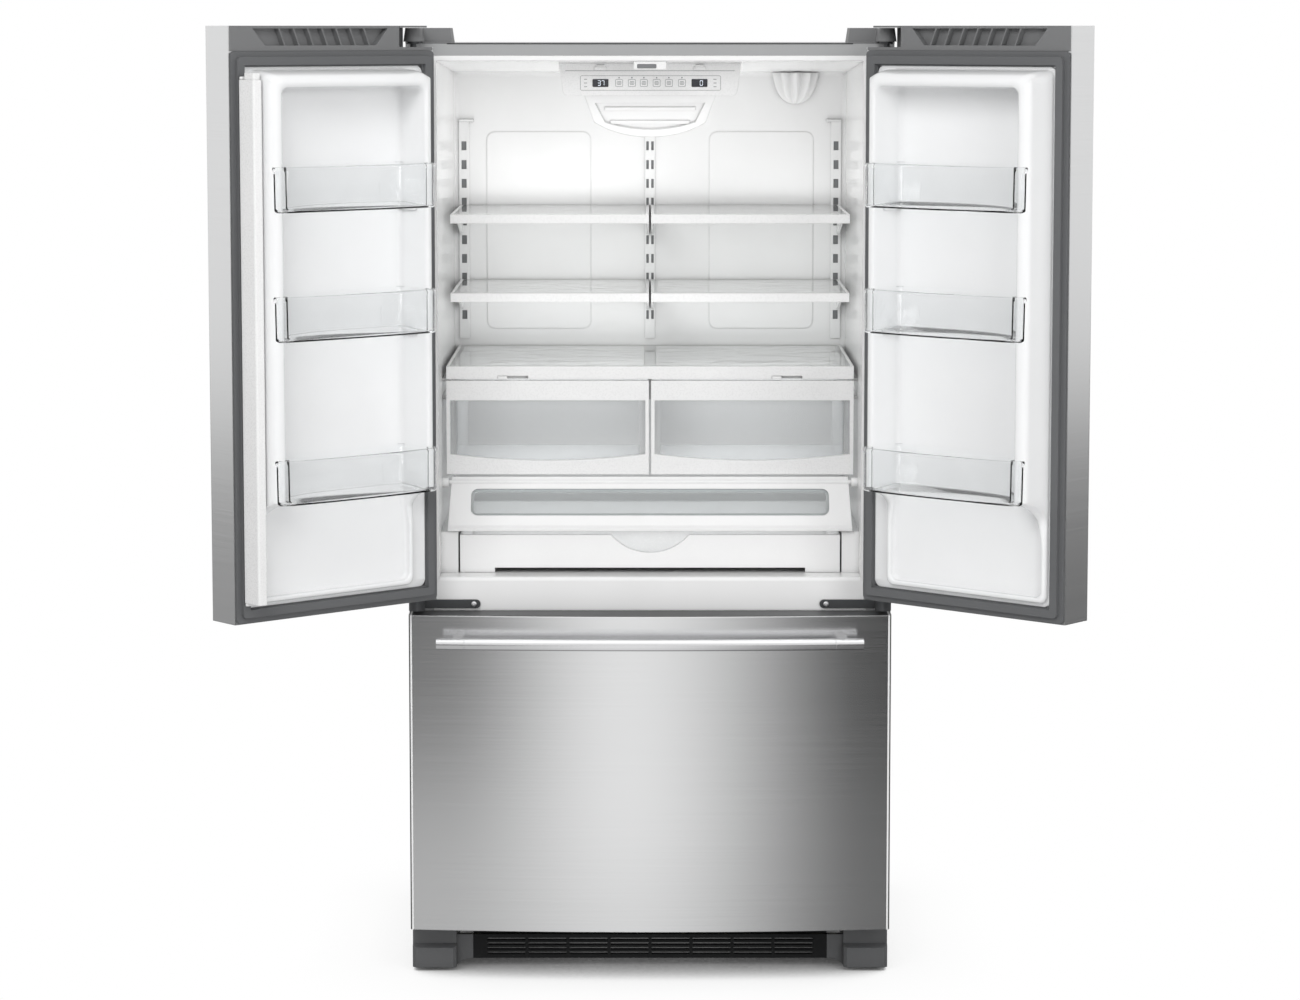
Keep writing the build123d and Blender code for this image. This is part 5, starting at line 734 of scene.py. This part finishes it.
# Door liners: vacuum-formed white sheet with rounded dykes that carry the bins, over a flat pan.
# Each is skinned over rings that follow the dyke's section from the plate's edge in to the floor.
PLATE, PLATE_EASE, FOOT = 0.004, 0.0008, 0.003
HINGE_RIM, FREE_RIM, TOP_RIM, PAN_RIM, PAN_RIM_HEIGHT = 0.018, 0.025, 0.030, 0.010, 0.012
DYKE_TOP_GAP, PAN_FOOT, DYKE_FOOT, FLARE = 0.006, 0.007, 0.107, 0.082
LIP, LIP_SHARE, COVE, COVE_SHARE = 0.006, 0.4, 0.010, 0.5
FOOT_TURN, CROWN_SHARE, SHOULDER_SHARE = 0.3, 0.62, 0.25
CROWN_STEPS, SHOULDER_STEPS, COVE_STEPS = 5, 3, 4
SIDE_CROWN, SIDE_CROWN_SHARE, TOP_CROWN_SHARE = 0.014, 0.7, 0.85
CORNER, CORNER_STEPS, SIDE_STEPS = 0.014, 6, 96
BOSS_WIDTH, BOSS_DEPTH, BOSS_HEIGHT = 0.007, 0.050, 0.006
BOSS_CORNER, BOSS_EASE, BOSS_GAP = 0.002, 0.001, 0.0002
BIN_HEIGHT = 0.080


class Door:
    """One door's own axes: across from its hinge, inward, and up, all seen with the door shut."""

    def __init__(self, side):
        joints = {joint["name"]: joint for joint in frame["joints"]}
        hinge = joints[side + "_door_hinge"]
        self.side = side
        self.hand = 1 if side == "left" else -1
        self.pivot = Vector(hinge["pos_m"])
        self.ajar = Matrix.Rotation(-math.radians(hinge["range_deg"][0]), 3, Vector(hinge["axis"]))
        self.plate_low, self.plate_high = self.box(side + "_door_liner")
        self.bin_low, self.bin_high = self.box(side + "_door_bins")
        bins = frame["nodes"][side + "_door_bins"].data
        heights = {round(self.spot(corner.co).z, 4) for corner in bins.vertices}
        self.bin_levels = [low for low in sorted(heights) if round(low + BIN_HEIGHT, 4) in heights]
        self.flipper_pin = self.spot(Vector(joints["flipper_hinge"]["pos_m"]))

    def place(self, across, deep, height):
        """Where a point of the door is in the frame."""
        return self.pivot + self.ajar @ Vector((self.hand * across, deep, height - self.pivot.z))

    def spot(self, point):
        """A point of the frame on the door's own axes."""
        shut = self.ajar.transposed() @ (point - self.pivot)
        return Vector((self.hand * shut.x, shut.y, shut.z + self.pivot.z))

    def box(self, node):
        """The low and high corners of a node on the door's own axes."""
        spots = [self.spot(corner.co) for corner in frame["nodes"][node].data.vertices]
        corners = []
        for choose in (min, max):
            corners.append(Vector([choose(spot[axis] for spot in spots) for axis in range(3)]))
        return corners


def quarter(steps):
    """Sine and cosine over a quarter turn."""
    for step in range(steps + 1):
        angle = math.pi / 2 * step / steps
        yield math.sin(angle), math.cos(angle)


def dyke_section(width, height, crown):
    """A dyke's section from its outer foot over its crown to the floor inside: inset and rise."""
    lip, cove = min(LIP, LIP_SHARE * height), min(COVE, COVE_SHARE * height)
    section = [(-FOOT, 0.0), (-FOOT_TURN * FOOT, FOOT_TURN * FOOT), (0.0, FOOT)]
    for s, c in quarter(CROWN_STEPS):
        section.append((CROWN_SHARE * width * (1 - c), height - crown * (1 - s)))
    for s, c in quarter(SHOULDER_STEPS):
        section.append((width - SHOULDER_SHARE * width * (1 - s), height - lip * (1 - c)))
    for s, c in quarter(COVE_STEPS):
        section.append((width + cove * (1 - c), cove * (1 - s)))
    return section


def plate_ring(door, deep, ease):
    """A ring round the liner's flat edge, with as many points down each side as the dyke has."""
    middle = (door.plate_low + door.plate_high) / 2
    size = door.plate_high - door.plate_low
    edge = []
    for across, up in outline(size.x - 2 * ease, size.z - 2 * ease, CORNER, CORNER_STEPS):
        edge.append((middle.x + across, deep, middle.z + up))
    corner = CORNER_STEPS + 1
    straight = []
    for start, end in ((4 * corner - 1, 0), (2 * corner - 1, 2 * corner)):
        for step in range(1, SIDE_STEPS):
            share = step / SIDE_STEPS
            straight.append([a + (b - a) * share for a, b in zip(edge[start], edge[end])])
    half_way = SIDE_STEPS - 1
    return straight[:half_way] + edge[: 2 * corner] + straight[half_way:] + edge[2 * corner :]


def door_liner(door):
    """The rings of one liner: round its flat edge, then one for each point of the dyke's section."""
    back, face = door.plate_low.y, door.plate_low.y + PLATE
    full = door.plate_high.y - face
    left, right = door.bin_low.x, door.bin_high.x
    foot, top = door.plate_low.z + PAN_FOOT, door.plate_high.z - DYKE_TOP_GAP
    dyke_foot = door.plate_low.z + DYKE_FOOT

    def side(rim, height):
        """The section at one side, which flares from the pan's low rim to the full dyke."""
        up = min(max(height - dyke_foot, 0.0), FLARE)
        rise = max(PAN_RIM_HEIGHT, FLARE - math.sqrt(FLARE**2 - up**2) - PLATE)
        share = up / FLARE
        width = PAN_RIM + (rim - PAN_RIM) * share**2 * (3 - 2 * share)
        return dyke_section(width, rise, min(SIDE_CROWN, SIDE_CROWN_SHARE * rise))

    edges = ((back, 0.0), (face - PLATE_EASE, 0.0), (face, PLATE_EASE))
    rings = [plate_ring(door, deep, ease) for deep, ease in edges]
    top_section = dyke_section(TOP_RIM, full, TOP_CROWN_SHARE * full)
    for order, (top_inset, top_rise) in enumerate(top_section):
        low = foot + side(HINGE_RIM, foot)[order][0]
        high = top - top_inset
        levels = []
        for step in range(SIDE_STEPS + 1):
            levels.append(low + CORNER + (high - low - 2 * CORNER) * step / SIDE_STEPS)
        ring = []
        for rim, edge, inward, heights in (
            (FREE_RIM, right, -1, levels[1:-1]),
            (HINGE_RIM, left, 1, levels[-2:0:-1]),
        ):
            for height in heights:
                inset, rise = side(rim, height)[order]
                ring.append((edge + inward * inset, face + rise, height))
            end, middle_z = (high, high - CORNER) if inward < 0 else (low, low + CORNER)
            far_rim, far_edge = (HINGE_RIM, left) if inward < 0 else (FREE_RIM, right)
            for turn in range(2):
                corner_rim, corner_edge = (rim, edge) if turn == 0 else (far_rim, far_edge)
                corner_in = inward if turn == 0 else -inward
                inset, rise = side(corner_rim, middle_z)[order]
                for s, c in list(quarter(CORNER_STEPS))[:: 1 if turn == 0 else -1]:
                    swing = top_rise if inward < 0 else side(corner_rim, low)[order][1]
                    ring.append(
                        (
                            corner_edge + corner_in * (inset + CORNER * (1 - c)),
                            face + rise + (swing - rise) * s,
                            middle_z + (CORNER if inward < 0 else -CORNER) * s,
                        )
                    )
        rings.append(ring)
    return rings


doors = [Door("left"), Door("right")]
# Painted shade darkens the door liners' own inner corners.
door_white = moulded(
    "door_white",
    (0.905, 0.91, 0.915),
    roughness=0.22,
    grain=260.0,
    depth=0.00003,
    edge=0.003,
    shade_reach=0.020,
    alone=True,
    IOR=1.5,
    Coat_Weight=0.25,
)
for door in doors:
    liner_mesh = bmesh.new()
    rings = [[door.place(*point) for point in ring] for ring in door_liner(door)]
    skin(liner_mesh, rings, smooth=True)
    face = door.plate_low.y + PLATE
    for level in door.bin_levels:
        for middle in (
            door.bin_low.x + HINGE_RIM + BOSS_WIDTH / 2,
            door.bin_high.x - FREE_RIM - BOSS_WIDTH / 2,
        ):
            plate(
                liner_mesh,
                lambda across, up, proud: door.place(
                    middle + across, face + BOSS_DEPTH / 2 + up, level - BOSS_HEIGHT + proud
                ),
                (BOSS_WIDTH, BOSS_DEPTH),
                BOSS_CORNER,
                BOSS_HEIGHT - BOSS_GAP,
                BOSS_EASE,
            )
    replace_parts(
        piece(door.side + "_liner_skin", liner_mesh, door_white, door.side + "_door"),
        door.side + "_door_liner",
    )

# Cap hoods: the outer wall and the thin roof of each upper end cap, which run on over the notch and
# close it around the hinge cover. The steel front runs up over the wall.
NOTCH_END, NOTCH_BELOW_TOP, HOOD_OUTSIDE, HOOD_LEAN = 0.0593, 0.006, -0.0195, 0.081
HOOD_ROOF, HOOD_ROOF_END, HOOD_WALL_END, HOOD_WALL_INSIDE = 0.0034, -0.001, 0.0135, -0.013
HOOD_CORNER, HOOD_EASE, HOOD_SEAM, HOOD_SKIN = 0.0004, 0.0003, 0.0001, 0.001


def hood_plate(mesh, door, end, outside, inside, low, rise, even=False):
    """Adds a plate over the notch whose outer edge, or both edges, follow the bow of the front."""
    middle, half = (end + NOTCH_END) / 2, (inside - outside) / 2

    def spot(across, up, proud):
        lean = HOOD_LEAN * (NOTCH_END - middle - across)
        share = 1.0 if even else (half - up) / (2 * half)
        return door.place(middle + across, outside + half + up + lean * share, low + proud)

    plate(mesh, spot, (NOTCH_END - end - HOOD_SEAM, 2 * half), HOOD_CORNER, rise, HOOD_EASE)


for door in doors:
    cap_top, cap_inside = door.box(door.side + "_door_caps")[1].zy
    roof_low = cap_top - HOOD_ROOF
    wall_low = shell_high.z - NOTCH_BELOW_TOP + HOOD_SEAM
    wall_rise = roof_low - wall_low - HOOD_SEAM
    wall_outside = HOOD_OUTSIDE + HOOD_SKIN + HOOD_SEAM
    hood_mesh = bmesh.new()
    hood_plate(hood_mesh, door, HOOD_ROOF_END, HOOD_OUTSIDE, cap_inside, roof_low, HOOD_ROOF)
    hood_plate(hood_mesh, door, HOOD_WALL_END, wall_outside, HOOD_WALL_INSIDE, wall_low, wall_rise)
    piece(door.side + "_cap_hood", hood_mesh, cap_grey, door.side + "_door")
    front_mesh = bmesh.new()
    front_end = HOOD_OUTSIDE + HOOD_SKIN
    hood_plate(front_mesh, door, HOOD_WALL_END, HOOD_OUTSIDE, front_end, wall_low, wall_rise, even=True)
    piece(door.side + "_hood_front", front_mesh, door_steel, door.side + "_door")

# Door bins: clear trays with bowed fronts and a bead around the rim, hung between the dykes. Each is
# skinned over rings, and its profile says how far each ring is grown and how high it lies.
BIN_WALL, BIN_GAP, BIN_FRONT, BIN_LIP = 0.0022, 0.001, 0.027, 0.002
BIN_BACK_CORNER, BIN_CORNER_STEPS, BIN_BOW, BIN_STEPS = 0.012, 5, 2.6, 48
BIN_PROFILE = (
    (-0.0060, 0.0),
    (-0.0034, 0.0006),
    (-0.0015, 0.0022),
    (-0.0008, 0.0050),
    (0.0, BIN_HEIGHT - 0.0090),
    (0.0012, BIN_HEIGHT - 0.0074),
    (0.0017, BIN_HEIGHT - 0.0042),
    (0.0013, BIN_HEIGHT - 0.0010),
    (0.0002, BIN_HEIGHT),
    (-BIN_WALL + 0.0006, BIN_HEIGHT),
    (-BIN_WALL, BIN_HEIGHT - 0.0010),
    (-BIN_WALL - 0.0008, 0.0080),
    (-BIN_WALL - 0.0030, 0.0038),
    (-BIN_WALL - 0.0080, 0.0026),
)
bin_clear = clear("bin_clear", (0.988, 0.991, 0.992), roughness=0.015)


def bin_ring(door, grow, height):
    """A bin's outline at a height, grown by an amount."""
    inner_left = door.bin_low.x + HINGE_RIM + BIN_GAP
    inner_right = door.bin_high.x - FREE_RIM - BIN_GAP
    back = door.bin_low.y + BIN_BACK_CORNER
    shoulder = door.bin_high.y - BIN_LIP - BIN_FRONT - grow
    half = (door.bin_high.x - door.bin_low.x) / 2 - BIN_LIP + grow
    middle = (door.bin_high.x + door.bin_low.x) / 2
    radius = BIN_BACK_CORNER + grow
    ring = []
    for s, c in quarter(BIN_CORNER_STEPS):
        ring.append((inner_left + BIN_BACK_CORNER - radius * c, back - radius * s))
    for s, c in quarter(BIN_CORNER_STEPS):
        ring.append((inner_right - BIN_BACK_CORNER + radius * s, back - radius * c))
    ring.append((inner_right + grow, shoulder))
    for step in range(BIN_STEPS + 1):
        angle = math.pi * step / BIN_STEPS
        across = math.copysign(abs(math.cos(angle)) ** (2 / BIN_BOW), math.cos(angle))
        deep = math.sin(angle) ** (2 / BIN_BOW) if 0 < step < BIN_STEPS else 0.0
        ring.append((middle + half * across, shoulder + (BIN_FRONT + 2 * grow) * deep))
    ring.append((inner_left - grow, shoulder))
    return [door.place(across, deep, height) for across, deep in ring]


for door in doors:
    bin_mesh = bmesh.new()
    for level in door.bin_levels:
        skin(bin_mesh, [bin_ring(door, grow, level + rise) for grow, rise in BIN_PROFILE], smooth=True)
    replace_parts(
        piece(door.side + "_bin_trays", bin_mesh, bin_clear, door.side + "_door"),
        door.side + "_door_bins",
    )

# Flipper: white moulded post that closes the gap between the doors. It turns on pins in two lugs
# that stand out from the left door's liner.
LUG, LUG_REACH, LUG_HEIGHT, LUG_EASE, LUG_FLAT = 0.010, 0.032, 0.005, 0.0008, 0.0001
PIN, PIN_LENGTH, PIN_EASE, PIN_FLAT = 0.006, 0.015, 0.0006, 0.00005
LOW_LUG_DROP, HIGH_LUG_DOWN, HIGH_PIN_DOWN = 0.0003, 0.0217, 0.0320
dress(trim_white, "flipper_mullion")
lug_mesh = bmesh.new()
left_door = doors[0]
pin_x, pin_y = left_door.flipper_pin.xy
pan_foot = left_door.plate_low.z + PAN_FOOT
liner_top = left_door.plate_high.z
for lug_low, pin_low in (
    (pan_foot - LOW_LUG_DROP, pan_foot),
    (liner_top - HIGH_LUG_DOWN, liner_top - HIGH_PIN_DOWN),
):
    plate(
        lug_mesh,
        lambda across, up, proud: left_door.place(
            pin_x + LUG / 2 - LUG_REACH / 2 + across, pin_y + up, lug_low + proud
        ),
        (LUG_REACH, LUG),
        LUG / 2 - LUG_FLAT,
        LUG_HEIGHT,
        LUG_EASE,
    )
    plate(
        lug_mesh,
        lambda across, up, proud: left_door.place(pin_x + across, pin_y + up, pin_low + proud),
        (PIN, PIN),
        PIN / 2 - PIN_FLAT,
        PIN_LENGTH,
        PIN_EASE,
    )
piece("flipper_lugs", lug_mesh, liner_white, "left_door")

# Handles: bright stainless bars on two posts each. The undersides and the flat tops of the posts are
# painted darker than the polished round of the bar, as painted shade. Each darkening is given by the
# tilts between which it runs, and by what it runs from and to.
UNDERSIDE, POST_TOP = (-0.95, -0.55, 0.15, 1.0), (0.94, 0.995, 1.0, 0.3)
POLISH_STRETCH, BAR_DARK, BAR_LIGHT = (600.0, 600.0, 4.0), (0.10, 0.10, 0.105), (0.80, 0.80, 0.81)
bright = Finish("bright_steel", Metallic=1.0)
polish = bright.noise(scale=1.0, detail=3.0, stretch=POLISH_STRETCH)
tilt = bright.node("SeparateXYZ", None, {"Vector": bright.node("NewGeometry", output="Normal")}, "Z")
# Painted shade: undersides and the flat tops of posts are made darker by their tilt.
painted_shade = tilt.ramp(*UNDERSIDE) * tilt.ramp(*POST_TOP) * (0.9 + 0.1 * polish)
bright.give(
    Base_Color=bright.tint(BAR_DARK, BAR_LIGHT, painted_shade),
    Roughness=0.16 + 0.06 * polish,
    Normal=bright.rounded(radius=0.001),
)
dress(bright, "left_door_handle", "right_door_handle", "freezer_handle")

# Stage: white floor with a painted contact shadow where the appliance stands, in a plain white room.
# What the steel mirrors of the floor is a bright lane in front that dims to both sides. Each dimming
# is given by where it starts and ends, and what it runs from and to.
FLOOR_REACH, CONTACT_REACH, CONTACT_SHADE = 60.0, 0.25, (0.0, 0.6, 0.02, 0.9)
LANE_START, LANE_HALF, LANE_FAN = 0.23, 0.45, 0.257
RIGHT_END, RIGHT_DIM = (0.2, 3.5, 0.20, 0.02), (-0.1, 0.97, 0.0, 1.0)
LEFT_END, LEFT_DIM = (0.2, 3.5, 0.66, 0.14), (-0.9, -0.1, 0.0, 1.0)
OUTER_DIM, NEAR_DIM = (-1.25, -0.97, 0.6, 1.0), (0.0, 1.6, 0.82, 1.0)
FAR_MIDDLE, FAR_LIGHT = 0.8, (10.0, 160.0, 0.0, 0.9)
CEILING_GLOW, ROOM_FILL = (0.25, 0.9, 0.92, 1.5), 0.54


def seen_rays(shader):
    """1 for what the eye sees, and 1 for what the eye, a mirror or a clear wall sees."""
    eye, mirror, clear_wall = (
        shader.node("LightPath", output=ray)
        for ray in ("Is Camera Ray", "Is Glossy Ray", "Is Transmission Ray")
    )
    return eye, (eye + mirror + clear_wall) > 0.5


floor_mesh = bpy.data.meshes.new("floor")
floor_sides = bmesh.new()
bmesh.ops.create_grid(floor_sides, x_segments=1, y_segments=1, size=FLOOR_REACH)
floor_sides.to_mesh(floor_mesh)
floor_sides.free()
floor = bpy.data.objects.new("floor", floor_mesh)
bpy.context.scene.collection.objects.link(floor)
floor_white = Finish("floor_white", Base_Color=(0.8, 0.8, 0.8, 1), Roughness=0.9)
contact = floor_white.node("AmbientOcclusion", {"samples": 8}, {"Distance": CONTACT_REACH}, "AO")
eye_ray, seen = seen_rays(floor_white)
across = floor_white.place("X")
ahead = (-LANE_START - floor_white.place("Y")).most(0.0)
lane = across / (LANE_HALF + LANE_FAN * ahead)
right_dim = 1 - (1 - ahead.ramp(*RIGHT_END)) * lane.ramp(*RIGHT_DIM)
left_end = ahead.ramp(*LEFT_END)
left_dim = left_end + (1 - left_end) * lane.ramp(*LEFT_DIM)
far_light = ((across - FAR_MIDDLE) ** 2.0).ramp(*FAR_LIGHT)
mirrored = (right_dim * left_dim * lane.ramp(*OUTER_DIM) * ahead.ramp(*NEAR_DIM)).most(far_light)
# Painted contact shadow: ambient occlusion darkens the floor's white near the appliance.
shade = contact.ramp(*CONTACT_SHADE) + 0.1 * contact
whiteness = (eye_ray + (1 - eye_ray) * mirrored) * shade
shown = floor_white.node(
    "Emission",
    None,
    {"Color": floor_white.tint((0.0, 0.0, 0.0), (1.0, 1.0, 1.0), whiteness), "Strength": 1.0},
)
lit = Wire(floor_white, floor_white.surface.outputs[0])
floor_look = floor_white.node("MixShader", None, {0: seen, 1: lit, 2: shown})
floor_white.feed(floor_white.tree.nodes["Material Output"].inputs["Surface"], floor_look)
floor_mesh.materials.append(floor_white.material)

world = bpy.data.worlds.new("room")
bpy.context.scene.world = world
world.use_nodes = True
room = Shader(world.node_tree)
eye_ray, seen = seen_rays(room)
upward = room.node("SeparateXYZ", None, {"Vector": room.node("TexCoord", output="Generated")}, "Z")
glow = eye_ray + (1 - eye_ray) * upward.ramp(*CEILING_GLOW)
shown = room.node("Background", None, {"Color": (1, 1, 1, 1), "Strength": glow})
fill = room.node("Background", None, {"Color": (1, 1, 1, 1), "Strength": ROOM_FILL})
room_look = room.node("MixShader", None, {0: seen, 1: fill, 2: shown})
room.feed(world.node_tree.nodes["World Output"].inputs["Surface"], room_look)


def softbox(name, place, aim, size, power):
    """A lamp of a width and height in metres at a place, turned to an aim."""
    lamp = bpy.data.lights.new(name, "AREA")
    lamp.shape = "RECTANGLE"
    lamp.energy, lamp.size, lamp.size_y = power, *size
    box = bpy.data.objects.new(name, lamp)
    box.location = place
    box.rotation_euler = (Vector(aim) - Vector(place)).to_track_quat("-Z", "Y").to_euler()
    box.visible_glossy = box.visible_camera = False
    bpy.context.scene.collection.objects.link(box)


softbox("key_lamp", place=(-1.2, -4.2, 3.8), aim=(0.0, 0.0, 1.1), size=(2.2, 2.2), power=94.0)
softbox("front_lamp", place=(2.6, -4.6, 1.5), aim=(0.0, 0.0, 1.1), size=(2.4, 2.4), power=56.0)
softbox("top_lamp", place=(0.0, 0.16, 1.435), aim=(0.0, 0.16, 1.7), size=(0.74, 0.50), power=1.12)
softbox("shelf_lamp", place=(0.0, 0.14, 1.155), aim=(0.0, 0.14, 1.7), size=(0.70, 0.50), power=0.74)
softbox("crisper_lamp", place=(0.0, 0.24, 1.108), aim=(0.0, 0.24, 0.9), size=(0.72, 0.34), power=1.0)
softbox("pantry_lamp", place=(0.0, 0.20, 0.828), aim=(0.0, 0.20, 0.7), size=(0.66, 0.30), power=0.25)

# Camera: a long lens a little above the cabinet top, tilted down, as the appliance was pictured.
# The pictures' colours are shown as they are, without a film curve.
CAMERA_PLACE, CAMERA_TILT = (0.0, -6.775, 1.7806), 5.916
camera = bpy.data.cameras.new("camera")
camera.lens, camera.sensor_width = 98.6, 36.0
camera.shift_y = -0.08
eye = bpy.data.objects.new("camera", camera)
eye.location = CAMERA_PLACE
eye.rotation_euler = (math.radians(90.0 - CAMERA_TILT), 0.0, 0.0)
bpy.context.scene.collection.objects.link(eye)
bpy.context.scene.camera = eye
bpy.context.scene.view_settings.view_transform = "Standard"
